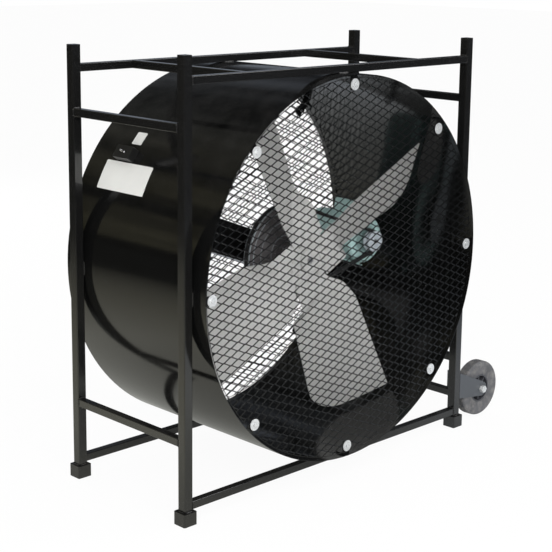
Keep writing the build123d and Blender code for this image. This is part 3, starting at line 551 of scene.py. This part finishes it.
class Finish:
    """A material under way: its sheet, its shader and the vector of Object coordinates."""

    def __init__(self, name):
        self.material = bpy.data.materials.new(name)
        self.material.use_nodes = True
        self.sheet = Sheet(self.material.node_tree)
        self.shader = self.material.node_tree.nodes["Principled BSDF"]
        self.place = self.sheet.add("ShaderNodeTexCoord").outputs["Object"]

    def use(self, tree, inputs):
        """Place a shared group."""
        return self.sheet.add("ShaderNodeGroup", inputs, node_tree=tree)

    def skin(self, groups, ripple, gloss):
        """Place the paint skin."""
        return self.use(groups["skin"], {"Vector": self.place, "Ripple Scale": ripple, "Gloss": gloss})

    def dusty(self, groups, base, dust, amount):
        """Place the settled dust over a colour."""
        normal = self.sheet.add("ShaderNodeNewGeometry").outputs["Normal"]
        return self.use(groups["dust"], {
            "Vector": self.place, "Normal": normal, "Colour": base, "Dust": dust, "Amount": amount,
        })

    def set(self, **inputs):
        """Set or link the shader's sockets; an underscore stands for a space."""
        for key, value in inputs.items():
            self.sheet.feed(self.shader.inputs[key.replace("_", " ")], value)

    def bump(self, height, distance):
        """Feed a height into the shader's normal."""
        made = self.sheet.add("ShaderNodeBump", {"Height": height, "Distance": distance, "Strength": 1.0})
        self.set(Normal=made.outputs["Normal"])


# ---------------------------------------------------------------- finishes

def gloss_paint(
    name, groups, base, dust, gloss=0.1, dust_amount=0.05, ripple=260.0, depth=PAINT_DEPTH, shine=0.5,
):
    """Sprayed gloss paint over steel, with settled dust."""
    finish = Finish(name)
    skin = finish.skin(groups, ripple, gloss)
    dusty = finish.dusty(groups, base, dust, dust_amount)
    rough = finish.sheet.math("ADD", skin.outputs["Roughness"], dusty.outputs["Mask"])
    finish.set(Base_Color=dusty.outputs["Colour"], Roughness=rough, Specular_IOR_Level=shine)
    finish.bump(skin.outputs["Height"], depth)
    return finish.material


def drawn_metal(name, groups, base, metallic, roughness, grain=0.25):
    """Bare metal with fine drawn lines, a little smoother where they are lighter."""
    finish = Finish(name)
    drawn = finish.use(groups["grain"], {"Vector": finish.place, "Colour": base, "Depth": grain})
    tone = drawn.outputs["Tone"]
    rough = finish.sheet.from_noise(tone, roughness + DARK_ROUGHER, roughness - LIGHT_SMOOTHER)
    finish.set(Base_Color=drawn.outputs["Colour"], Metallic=metallic, Roughness=rough)
    finish.bump(drawn.outputs["Height"], DRAWN_DEPTH)
    return finish.material


def cast_iron(name, base):
    """Sand-cast iron with a pitted skin."""
    finish = Finish(name)
    sheet = finish.sheet
    pits = sheet.noise(finish.place, scale=CAST_PITS, detail=4.0, roughness=0.65)
    slow = sheet.noise(finish.place, scale=30.0)
    finish.set(
        Base_Color=sheet.blend(sheet.from_noise(slow), base, shaded(base, 0.55)),
        Metallic=0.6,
        Roughness=sheet.from_noise(pits, 0.4, 0.65),
    )
    finish.bump(pits, CAST_DEPTH)
    return finish.material


def sheave_finish(cast, turned):
    """Cast iron, bare and turned along the large sheave's edges and all over the small sheave."""
    finish = Finish("Sheave Iron")
    sheet = finish.sheet
    pits = sheet.noise(finish.place, scale=CAST_PITS, detail=4.0, roughness=0.65)
    slow = sheet.noise(finish.place, scale=34.0, detail=4.0, roughness=0.6)
    large = sheet.from_axis(finish.place, "driven_sheave")
    small = sheet.from_axis(finish.place, "drive_sheave")
    ridges = sheet.math(
        "MAXIMUM", sheet.ring_lines(large, LARGE_SHEAVE_EDGES), sheet.ring_lines(small, SMALL_SHEAVE_EDGES),
    )
    iron = sheet.blend(sheet.from_noise(slow), cast, shaded(cast, 0.6))
    outwards = sheet.add("ShaderNodeCombineXYZ", {"X": small}).outputs[0]
    lines = sheet.noise(outwards, scale=1500.0, detail=2.0, roughness=0.6)
    face = sheet.blend(sheet.spread(lines, *PATCH_EDGES), turned, shaded(turned, 0.62))
    on_small = sheet.spread(small, 2 * SMALL_SHEAVE_REACH, SMALL_SHEAVE_REACH)
    bare = sheet.math("MAXIMUM", sheet.spread(ridges, 0.1, 0.5), on_small)
    metal = sheet.spread(bare, 0.0, 1.0, 0.3, 0.1)
    rough = sheet.from_noise(pits, 0.42, 0.62)
    finish.set(
        Base_Color=sheet.blend(bare, iron, face),
        Metallic=sheet.math("ADD", metal, sheet.math("MULTIPLY", ridges, 0.1)),
        Roughness=sheet.math("SUBTRACT", rough, sheet.math("MULTIPLY", bare, 0.14)),
    )
    skin = sheet.math("MULTIPLY", pits, sheet.spread(bare, 0.0, 1.0, 0.1, 0.015))
    finish.bump(sheet.math("ADD", skin, ridges), RIDGE_DEPTH)
    return finish.material


def motor_enamel(groups, green, dust):
    """The motor's enamel, darkened round the small sheave by belt dust and by painted shade."""
    finish = Finish("Motor Green Enamel")
    sheet = finish.sheet
    skin = finish.skin(groups, ripple=300.0, gloss=0.16)
    dusty = finish.dusty(groups, green, dust, amount=0.12)
    distance = sheet.from_axis(finish.place, "drive_sheave")
    low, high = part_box("front_motor_bell")
    at_front = sheet.spread(sheet.part(finish.place, "Y"), high.y, low.y)
    clouds = sheet.noise(finish.place, scale=45.0, detail=4.0, roughness=0.6)
    patches = sheet.from_noise(clouds, 0.5, 1.0)
    # a ring of painted shade, and of belt dust, round the small sheave on the bell's front
    ring = sheet.spread(distance, DUST_AND_SHADE_REACH, SMALL_SHEAVE_REACH, 0.0, 0.85)
    grime_and_shade = sheet.math("MULTIPLY", sheet.math("MULTIPLY", ring, patches), at_front)
    finish.set(
        Base_Color=sheet.blend(grime_and_shade, dusty.outputs["Colour"], DUST_AND_SHADE),
        Roughness=sheet.math("ADD", skin.outputs["Roughness"], sheet.math("MULTIPLY", grime_and_shade, 0.3)),
    )
    finish.bump(skin.outputs["Height"], PAINT_DEPTH)
    return finish.material


def rubber(name, base, dirt):
    """Rubber or belt cloth with a fine bloom and a share of dried dirt."""
    finish = Finish(name)
    sheet = finish.sheet
    fine = sheet.noise(finish.place, scale=700.0, detail=3.0, roughness=0.6)
    clouds = sheet.noise(finish.place, scale=22.0, detail=4.0, roughness=0.6)
    bloomed = sheet.blend(sheet.spread(clouds, *SOFT_EDGES), base, shaded(base, 1.5))
    spots = sheet.noise(finish.place, scale=34.0, detail=5.0, roughness=0.7)
    finish.set(
        Base_Color=sheet.blend(sheet.spread(spots, 0.45, 0.7, 0.0, dirt), bloomed, DRIED_DIRT),
        Roughness=sheet.from_noise(fine, 0.54, 0.74),
    )
    finish.bump(fine, RUBBER_DEPTH)
    return finish.material


def moulded_plastic(name, base):
    """Moulded plastic with a fine texture."""
    finish = Finish(name)
    sheet = finish.sheet
    fine = sheet.noise(finish.place, scale=1100.0, detail=2.0)
    slow = sheet.noise(finish.place, scale=40.0, detail=2.0)
    finish.set(
        Base_Color=sheet.blend(sheet.spread(slow, *SOFT_EDGES), base, shaded(base, 1.4)),
        Roughness=sheet.from_noise(fine, 0.35, 0.5),
    )
    finish.bump(fine, PLASTIC_DEPTH)
    return finish.material


def make_finishes(settings):
    """Every finish by its slot in the record, and those of the welds and the bare plates."""
    groups = {"skin": paint_skin_group(), "dust": dust_group(), "grain": grain_group()}
    black = tuple(settings.gloss_black)
    dust = tuple(settings.dust)

    def paint(name, base, **values):
        return gloss_paint(name, groups, base, dust, **values)

    def metal(name, base, **values):
        return drawn_metal(name, groups, base, **values)

    return {
        "frame_paint": paint("Frame Gloss Black", tuple(settings.frame_black), shine=0.8),
        "drum_paint": paint("Drum Gloss Black", black, gloss=0.07, depth=0.00003),
        "guard_paint": paint("Guard Black", black, gloss=0.13, dust_amount=0.02),
        "channel_paint": paint("Channel Gloss Black", black, gloss=0.09),
        "bracket_paint": paint("Bracket Grey", tuple(settings.bracket_grey), gloss=0.28),
        "switch_paint": paint("Switch Box Black", (0.008, 0.008, 0.008, 1), gloss=0.35, ripple=700.0),
        # the heavy dust on the welds' tops is dust and partly a painted highlight standing in for their
        # glints
        "weld": paint("Weld Black", (0.012, 0.012, 0.012, 1), gloss=0.16, dust_amount=0.3),
        "plate": paint("Plate White", tuple(settings.plate_white), gloss=0.25, dust_amount=0.2),
        "motor_paint": motor_enamel(groups, tuple(settings.motor_green), dust),
        "blade_metal": metal(
            "Blade Sheet", tuple(settings.blade_grey), metallic=0.1, roughness=0.42, grain=0.16,
        ),
        "rivet_metal": metal("Rivet Metal", (0.55, 0.54, 0.52, 1), metallic=0.8, roughness=0.35),
        "zinc_plate": metal("Zinc Plate", tuple(settings.zinc), metallic=0.5, roughness=0.26, grain=0.35),
        "bright_steel": metal("Bright Steel", (0.5, 0.5, 0.5, 1), metallic=1.0, roughness=0.28, grain=0.2),
        "toggle_metal": metal("Toggle Chrome", (0.7, 0.7, 0.72, 1), metallic=1.0, roughness=0.15, grain=0.1),
        "sheave_iron": sheave_finish(tuple(settings.sheave_grey), tuple(settings.turned_grey)),
        "bearing_iron": cast_iron("Bearing Iron", (0.035, 0.04, 0.05, 1)),
        "belt_rubber": rubber("Belt Rubber", (0.012, 0.012, 0.012, 1), dirt=0.0),
        "tyre_rubber": rubber("Tyre Rubber", tuple(settings.rubber), dirt=0.45),
        "wheel_plastic": moulded_plastic("Wheel Plastic", (0.035, 0.036, 0.042, 1)),
    }


FINISHES = {}


# ---------------------------------------------------------------- operators

class DRUMFAN_OT_finishes(bpy.types.Operator):
    """Make every finish and put it on the carried-over nodes"""

    bl_idname = "drumfan.finishes"
    bl_label = "Finishes"

    def execute(self, context):
        FINISHES.update(make_finishes(context.scene.drum_fan.finish))
        for node, thing in NODES.items():
            for slot in thing.material_slots:
                name = slot.material.name.split(".")[0]
                if name not in FINISHES:
                    raise RuntimeError(f"node {node} has a slot with no finish: {name}")
                slot.material = FINISHES[name]
        return {"FINISHED"}


RIM_CUTS = 120
MERGE_REACH = 0.00005
SQUARE_MM = 1e6
# how far from its row's middle line a strand's edge may lie, and how near the rim none is moved
STRAND_EDGE_NEAR = 0.0002
STRAND_EDGE_FAR = 0.003
RIM_MARGIN = 0.002


class DRUMFAN_OT_guards(bpy.types.Operator):
    """Model the two expanded-metal guards in place of the plain sheets"""

    bl_idname = "drumfan.guards"
    bl_label = "Mesh Guards"

    def execute(self, context):
        low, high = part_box("front_guard")
        front = self.sheet(context.scene.drum_fan.guard, radius=(high.x - low.x) / 2)
        front.data.transform(Matrix.Translation((low + high) / 2))
        back = placed_copy(front, Matrix.Scale(-1, 4, (0, 1, 0)))
        back.name = back.data.name = "rear_guard_mesh"
        edit(back)
        face_outwards()
        done()
        for thing, node in ((front, "front_guard"), (back, "rear_guard")):
            dress(thing, "frame", FINISHES["guard_paint"])
            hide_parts(node)
        return {"FINISHED"}

    def sheet(self, size, radius):
        """One guard about the origin, facing -Y."""
        guard = self.cell(size)
        shift = Vector((size.mesh_shift[0], 0, size.mesh_shift[1]))
        self.repeat(guard, size, radius, shift)
        edit(guard)
        for step in range(RIM_CUTS):
            angle = math.tau * step / RIM_CUTS
            outward = Vector((math.cos(angle), 0, math.sin(angle)))
            bpy.ops.mesh.select_all(action="SELECT")
            bpy.ops.mesh.bisect(plane_co=outward * radius, plane_no=outward, clear_outer=True)
        pick("polygons", lambda face, mesh: face.area * SQUARE_MM > size.smallest_opening)
        bpy.ops.mesh.inset(thickness=size.strand_width / 2, use_individual=True, use_even_offset=True)
        bpy.ops.mesh.delete(type="FACE")
        self.lean(size, radius, shift)
        done()
        apply_modifier(guard, "SOLIDIFY", thickness=size.sheet_thickness, offset=0.0)
        guard.data.transform(Matrix.Rotation(-size.mesh_turn, 4, "Y"))
        return guard

    def cell(self, size):
        """One closed opening of the mesh: a hexagon with its two level sides along the bonds."""
        bpy.ops.object.select_all(action="DESELECT")
        bpy.ops.mesh.primitive_circle_add(
            vertices=6, radius=1.0, fill_type="NGON", rotation=(QUARTER, math.pi / 6, 0),
        )
        cell = settle(named("front_guard_mesh"))
        edit(cell)
        bpy.ops.mesh.select_all(action="SELECT")
        half = (size.long_pitch - size.bond_length) / 2
        bpy.ops.transform.resize(value=(half, 1.0, size.short_pitch / 2 / math.sin(math.pi / 3)))
        pick("vertices", lambda vertex, mesh: abs(vertex.co.z) > size.short_pitch / 4)
        bpy.ops.transform.resize(value=(size.bond_length / half, 1.0, 1.0), center_override=(0, 0, 0))
        done()
        return cell

    def repeat(self, guard, size, radius, shift):
        """Fill the guard's square with staggered openings, centred on the shifted axis."""
        columns = 2 * math.ceil(radius / size.long_pitch) + 1
        rows = 2 * math.ceil(radius / size.short_pitch) + 1
        for count, step in (
            (columns, (size.long_pitch, 0, 0)),
            (2, (size.long_pitch / 2, 0, size.short_pitch / 2)),
            (rows, (0, 0, size.short_pitch)),
        ):
            apply_modifier(
                guard, "ARRAY", count=count, use_relative_offset=False, use_constant_offset=True,
                constant_offset_displace=step, use_merge_vertices=True, merge_threshold=MERGE_REACH,
            )
        start = Vector((-(columns - 1) / 2 * size.long_pitch, 0, -(rows - 1) / 2 * size.short_pitch))
        guard.data.transform(Matrix.Translation(start + shift))

    def lean(self, size, radius, shift):
        """In edit mode, set one edge of each strand in front of the other."""
        row = size.short_pitch / 2
        for side in (-1, 1):
            def by_strand_edge(vertex, mesh, side=side):
                offset = (vertex.co.z - shift.z) / row
                offset = (offset - round(offset)) * row
                on_edge = STRAND_EDGE_NEAR < side * offset < STRAND_EDGE_FAR
                return on_edge and vertex.co.length < radius - RIM_MARGIN

            pick("vertices", by_strand_edge)
            bpy.ops.transform.translate(value=(0, side * size.strand_lean / 2, 0))


BEAD_SIDES = 8
RIPPLE_WAIST = 0.8
BEAD_TIP = 0.5
BEAD_INSET = 0.0005
BEAD_SMOOTHING = 60
UPRIGHT = Matrix.Rotation(QUARTER, 4, "Y")
ALONG_Y = Matrix.Rotation(QUARTER, 4, "Z")


class DRUMFAN_OT_welds(bpy.types.Operator):
    """Lay the weld beads of the frame"""

    bl_idname = "drumfan.welds"
    bl_label = "Weld Beads"

    def execute(self, context):
        size = context.scene.drum_fan.weld
        bead = self.bead(size, size.bead_length)
        tack = self.bead(size, size.tack_length)
        pieces = []
        for node, along in self.rails():
            low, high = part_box(node)
            pieces += [placed_copy(bead, matrix) for matrix in self.round_the_ends(low, high, along)]
        pieces += [placed_copy(tack, matrix) for matrix in self.on_the_drum()]
        pieces += [placed_copy(bead, matrix) for matrix in self.round_the_posts()]
        for start in (bead, tack):
            bpy.data.objects.remove(start)
        welds = joined(pieces, "frame_welds")
        smooth(welds, BEAD_SMOOTHING)
        dress(welds, "frame", FINISHES["weld"])
        return {"FINISHED"}

    def bead(self, size, length):
        """One rippled bead along X about the origin."""
        bpy.ops.object.select_all(action="DESELECT")
        bpy.ops.mesh.primitive_cylinder_add(
            vertices=BEAD_SIDES, radius=size.bead_radius, depth=length, end_fill_type="NGON",
            rotation=(0, QUARTER, 0),
        )
        bead = settle(named("bead"))
        ripples = max(2, round(length / size.ripple_pitch))
        step = length / (2 * ripples)
        edit(bead)
        pick("edges", lambda edge, mesh: run_along_x(edge, mesh) > length / 2)
        bpy.ops.mesh.subdivide(number_cuts=2 * ripples - 1)
        pick("vertices", lambda vertex, mesh: round((vertex.co.x + length / 2) / step) % 2 == 0)
        bpy.ops.transform.resize(value=(1.0, RIPPLE_WAIST, RIPPLE_WAIST), center_override=(0, 0, 0))
        pick("vertices", lambda vertex, mesh: abs(vertex.co.x) > length / 2 - step / 2)
        bpy.ops.transform.resize(value=(1.0, BEAD_TIP, BEAD_TIP), center_override=(0, 0, 0))
        done()
        return bead

    def rails(self):
        """The rails that end on a post or another rail, with the axis that they run along."""
        along_x = [f"{level}_rail_{end}" for level in ("top", "bottom") for end in ("front", "rear")]
        along_y = [f"{level}_side_rail_{side}" for level in ("upper", "lower") for side in ("left", "right")]
        return [(node, 0) for node in along_x] + [(node, 1) for node in along_y + ["axle_rail"]]

    def round_the_ends(self, low, high, along):
        """Where the four beads lie round each end of a rail."""
        middle = (low + high) / 2
        across = 1 - along
        level_turn = ALONG_Y if along == 0 else Matrix.Identity(4)
        places = []
        for end, inset in ((low[along], BEAD_INSET), (high[along], -BEAD_INSET)):
            place = middle.copy()
            place[along] = end + inset
            for level in (low.z, high.z):
                place.z = level
                places.append(Matrix.Translation(place) @ level_turn)
            place.z = middle.z
            for side in (low[across], high[across]):
                place[across] = side
                places.append(Matrix.Translation(place) @ UPRIGHT)
        return places

    def round_the_posts(self):
        """Where the four beads lie round each post as it enters its foot socket."""
        places = []
        for end in ("front", "rear"):
            for side in ("left", "right"):
                low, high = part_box(f"post_{end}_{side}")
                middle = (low + high) / 2
                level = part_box(f"foot_socket_{end}_{side}")[1].z
                for y in (low.y, high.y):
                    places.append(Matrix.Translation((middle.x, y, level)))
                for x in (low.x, high.x):
                    places.append(Matrix.Translation((x, middle.y, level)) @ ALONG_Y)
        return places

    def on_the_drum(self):
        """Where the drum is welded to its posts and to the long rails."""
        low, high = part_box("drum_shell")
        middle = (low + high) / 2
        places = []
        for end in ("front", "rear"):
            for side, x in (("left", low.x), ("right", high.x)):
                post_low, post_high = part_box(f"post_{end}_{side}")
                for y in (post_low.y, post_high.y):
                    places.append(Matrix.Translation((x, y, middle.z)) @ UPRIGHT)
            for level, z in (("top", high.z), ("bottom", low.z)):
                rail_low, rail_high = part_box(f"{level}_rail_{end}")
                for y in (rail_low.y, rail_high.y):
                    places.append(Matrix.Translation((middle.x, y, z)))
        return places


BLANK_SIZE = 1.0
ROLL_STEPS = 12
CORNER_REACH = 0.0005
CORNER_SEGMENTS = 4
PLATE_SMOOTHING = 40


class DRUMFAN_OT_plates(bpy.types.Operator):
    """Lay the two bare plates on the drum"""

    bl_idname = "drumfan.plates"
    bl_label = "Bare Plates"

    def execute(self, context):
        size = context.scene.drum_fan.plate
        for name, span, reach in (
            ("large_plate", size.large_span, size.large_reach),
            ("small_plate", size.small_span, size.small_reach),
        ):
            plate = self.plate(size, name, span, reach)
            dress(plate, "frame", FINISHES["plate"])
        return {"FINISHED"}

    def plate(self, size, name, span, reach):
        """One plate, rolled to the drum's curve, with round corners."""
        low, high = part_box("drum_shell")
        middle = (low + high) / 2
        radius = (high.x - low.x) / 2 + size.stand_off
        plate = self.edge(name, radius, span[0], reach)
        edit(plate)
        bpy.ops.mesh.select_all(action="SELECT")
        for _ in range(ROLL_STEPS):
            bpy.ops.mesh.extrude_edges_move()
            bpy.ops.transform.rotate(
                value=(span[1] - span[0]) / ROLL_STEPS, orient_axis="Y", orient_type="GLOBAL",
                center_override=(0, 0, 0),
            )
        done()
        corners = [
            Vector((radius * math.cos(angle), y, radius * math.sin(angle))) for angle in span for y in reach
        ]
        edit(plate)
        pick("vertices", lambda vertex, mesh: min((vertex.co - at).length for at in corners) < CORNER_REACH)
        bpy.ops.mesh.bevel(offset=size.corner, segments=CORNER_SEGMENTS, affect="VERTICES")
        face_outwards()
        done()
        apply_modifier(plate, "SOLIDIFY", thickness=size.thickness, offset=1.0)
        plate.data.transform(Matrix.Translation((middle.x, 0, middle.z)))
        smooth(plate, PLATE_SMOOTHING)
        return plate

    def edge(self, name, radius, angle, reach):
        """The edge at which a plate begins, along Y on the drum about the origin."""
        bpy.ops.object.select_all(action="DESELECT")
        bpy.ops.mesh.primitive_plane_add(size=BLANK_SIZE)
        edge = settle(named(name))
        edit(edge)
        pick("vertices", lambda vertex, mesh: vertex.co.x > 0)
        bpy.ops.mesh.delete(type="VERT")
        done()
        stretched = Matrix.Scale((reach[1] - reach[0]) / BLANK_SIZE, 4, (0, 1, 0))
        centred = Matrix.Translation((BLANK_SIZE / 2, 0, 0))
        placed = Matrix.Translation((radius, (reach[0] + reach[1]) / 2, 0))
        edge.data.transform(Matrix.Rotation(-angle, 4, "Y") @ placed @ centred @ stretched)
        return edge


CAMERA_PLACE = (-3.15699, -3.20563, 1.70737)
CAMERA_TURNS = (45.58, 11.14, 0.64)
SENSOR_WIDTH = 36.0
FRAME_PIXELS = 552
FRAME_SHIFT_PIXELS = -59.5
CLIP_NEAR = 0.05
CLIP_FAR = 200.0

FLOOR_SIZE = 60.0
FLOOR_DROP = 0.0005
FLOOR_GREY = (0.82, 0.82, 0.82, 1)
FLOOR_WHITE = 0.95
# ranges as low, high and what they are mapped to; the floor's are distances from its middle
# the floor's reflected glow is dimmed right under the fan as painted shadow
UNDER_FAN_PAINTED_SHADOW = (0.4, 1.2, 0.45, 1.0)
# the painted pool of light that the floor shows in reflections: its fall with distance, its sides and its
# tints
POOL_FALL = (1.1, 4.5, 0.85, 0.04)
POOL_SIDES = (-1.5, 1.5)
POOL_LEFT = (1, 0.97, 0.78, 1)
POOL_RIGHT = (0.9, 0.96, 1.05, 1)

ROOM_LEFT = (1, 0.93, 0.6, 1)
ROOM_RIGHT = (0.86, 0.95, 1.1, 1)
# the room's are heights of the view, sides of the view and a noise
ROOM_LEVEL = (0.0, 0.35, 0.1, 0.05)
ROOM_CEILING = (0.7, 0.95, 0.0, 0.8)
ROOM_SIDES = (-0.5, 0.5)
STREAKS = (0.45, 0.68, 0.15, 6.0)
STREAK_STRETCH = (1.6, 1.6, 9.0)

LAMP_TARGET = (0, 0, 0.7)
# name, place, width, height, setting of its power, and whether it shows in reflections
LAMPS = (
    ("Key Lamp", (-3.2, -2.6, 3.4), 2.4, 2.4, "key_power", True),
    ("Fill Lamp", (3.4, -2.8, 4.4), 2.0, 2.0, "fill_power", True),
    ("Front Lamp", (-2.0, -4.9, 2.2), 2.6, 2.4, "front_power", False),
    ("Back Lamp", (0.6, 5.6, 2.0), 2.6, 2.6, "back_power", False),
)


class DRUMFAN_OT_stage(bpy.types.Operator):
    """Set the camera, the floor and the light"""

    bl_idname = "drumfan.stage"
    bl_label = "Stage"

    def execute(self, context):
        size = context.scene.drum_fan.stage
        self.camera(context, size)
        self.floor()
        self.lamps(context, size)
        self.world(context, size)
        context.scene.view_settings.view_transform = "Standard"
        return {"FINISHED"}

    def camera(self, context, size):
        """The camera at the photograph's viewing angle."""
        yaw, pitch, roll = (math.radians(angle) for angle in CAMERA_TURNS)
        view = Vector((math.cos(yaw) * math.cos(pitch), math.sin(yaw) * math.cos(pitch), -math.sin(pitch)))
        level = Vector((math.sin(yaw), -math.cos(yaw), 0))
        upright = level.cross(view)
        right = math.cos(roll) * level + math.sin(roll) * upright
        up = -math.sin(roll) * level + math.cos(roll) * upright
        data = bpy.data.cameras.new("Camera")
        data.sensor_width = SENSOR_WIDTH
        data.lens = size.lens
        data.shift_y = FRAME_SHIFT_PIXELS / FRAME_PIXELS
        data.clip_start = CLIP_NEAR
        data.clip_end = CLIP_FAR
        camera = bpy.data.objects.new("Camera", data)
        context.scene.collection.objects.link(camera)
        turn = Matrix((right, up, -view)).transposed().to_4x4()
        camera.matrix_world = Matrix.Translation(CAMERA_PLACE) @ turn
        context.scene.camera = camera

    def floor(self):
        """A wide plain floor, white to the camera; in reflections a painted pool of light round the fan,
        with painted shadow right under it.
        """
        bpy.ops.object.select_all(action="DESELECT")
        bpy.ops.mesh.primitive_plane_add(size=FLOOR_SIZE, location=(0, 0, -FLOOR_DROP))
        floor = settle(named("studio_floor"))
        finish = Finish("Studio Floor")
        sheet = finish.sheet
        finish.set(Base_Color=FLOOR_GREY, Roughness=0.9, Specular_IOR_Level=0.1)
        rays = sheet.add("ShaderNodeLightPath").outputs
        distance = sheet.length(finish.place)
        painted_shadow_under_fan = sheet.spread(distance, *UNDER_FAN_PAINTED_SHADOW)
        # the reflected pool of light is painted, and so is its shadow under the fan
        near = sheet.math("MULTIPLY", sheet.spread(distance, *POOL_FALL), painted_shadow_under_fan)
        tint = sheet.blend(sheet.spread(sheet.part(finish.place, "X"), *POOL_SIDES), POOL_LEFT, POOL_RIGHT)
        pool = sheet.add("ShaderNodeEmission", {"Color": tint, "Strength": near}).outputs[0]
        white = sheet.add("ShaderNodeEmission", {"Color": WHITE, "Strength": 1.0}).outputs[0]
        reflected = sheet.mix_shaders(sheet.mirrored_rays(rays), finish.shader.outputs[0], pool)
        seen = sheet.math("MULTIPLY", rays["Is Camera Ray"], FLOOR_WHITE)
        shown = sheet.mix_shaders(seen, reflected, white)
        sheet.feed(finish.material.node_tree.nodes["Material Output"].inputs["Surface"], shown)
        floor.data.materials.append(finish.material)

    def lamps(self, context, size):
        """Four large soft lamps."""
        for name, place, width, height, power, mirrored in LAMPS:
            data = bpy.data.lights.new(name, "AREA")
            data.shape = "RECTANGLE"
            data.size = width
            data.size_y = height
            data.energy = getattr(size, power)
            lamp = bpy.data.objects.new(name, data)
            context.scene.collection.objects.link(lamp)
            lamp.location = place
            lamp.visible_glossy = mirrored
            aim = Vector(LAMP_TARGET) - Vector(place)
            lamp.rotation_euler = aim.to_track_quat("-Z", "Y").to_euler()

    def world(self, context, size):
        """White to the camera, even fill on the fan; in reflections a dim streaky room, light above."""
        world = bpy.data.worlds.new("Studio")
        world.use_nodes = True
        context.scene.world = world
        sheet = Sheet(world.node_tree)
        even = world.node_tree.nodes["Background"]
        even.inputs["Color"].default_value = WHITE
        even.inputs["Strength"].default_value = size.world_fill
        rays = sheet.add("ShaderNodeLightPath").outputs
        direction = sheet.add("ShaderNodeTexCoord").outputs["Generated"]
        height = sheet.part(direction, "Z")
        level = sheet.spread(height, *ROOM_LEVEL)
        ceiling = sheet.spread(height, *ROOM_CEILING)
        tint = sheet.blend(sheet.spread(sheet.part(direction, "X"), *ROOM_SIDES), ROOM_LEFT, ROOM_RIGHT)
        shelves = sheet.noise(sheet.scaled(direction, STREAK_STRETCH), scale=1.0, detail=4.0, roughness=0.6)
        streaks = sheet.spread(shelves, *STREAKS)
        walls = sheet.math("ADD", sheet.math("MULTIPLY", level, streaks), ceiling)
        room = sheet.add("ShaderNodeBackground", {"Color": tint, "Strength": walls}).outputs[0]
        white = sheet.add("ShaderNodeBackground", {"Color": WHITE, "Strength": 1.0}).outputs[0]
        reflected = sheet.mix_shaders(sheet.mirrored_rays(rays), even.outputs[0], room)
        shown = sheet.mix_shaders(rays["Is Camera Ray"], reflected, white)
        sheet.feed(world.node_tree.nodes["World Output"].inputs["Surface"], shown)


# ---------------------------------------------------------------- add-on

PANEL_ROWS = (
    ("Finishes", "finish", "drumfan.finishes"),
    ("Guards", "guard", "drumfan.guards"),
    ("Welds", "weld", "drumfan.welds"),
    ("Plates", "plate", "drumfan.plates"),
    ("Stage", "stage", "drumfan.stage"),
)


class DRUMFAN_PT_panel(bpy.types.Panel):
    """Lists the fan's steps and settings"""

    bl_idname = "DRUMFAN_PT_panel"
    bl_label = "Drum Fan"
    bl_space_type = "VIEW_3D"
    bl_region_type = "UI"
    bl_category = "Drum Fan"

    def draw(self, context):
        for title, part, operator in PANEL_ROWS:
            box = self.layout.box()
            box.label(text=title)
            values = getattr(context.scene.drum_fan, part)
            for name in values.__annotations__:
                box.prop(values, name)
            box.operator(operator)


CLASSES = (
    DrumFanGuardSettings,
    DrumFanWeldSettings,
    DrumFanPlateSettings,
    DrumFanFinishSettings,
    DrumFanStageSettings,
    DrumFanSettings,
    DRUMFAN_OT_finishes,
    DRUMFAN_OT_guards,
    DRUMFAN_OT_welds,
    DRUMFAN_OT_plates,
    DRUMFAN_OT_stage,
    DRUMFAN_PT_panel,
)


def register():
    for item in CLASSES:
        bpy.utils.register_class(item)
    bpy.types.Scene.drum_fan = bpy.props.PointerProperty(type=DrumFanSettings)


def unregister():
    del bpy.types.Scene.drum_fan
    for item in reversed(CLASSES):
        bpy.utils.unregister_class(item)


def main():
    register()
    bpy.ops.drumfan.stage()
    bpy.ops.drumfan.finishes()
    bpy.ops.drumfan.guards()
    bpy.ops.drumfan.welds()
    bpy.ops.drumfan.plates()


if __name__ == "__main__":
    main()
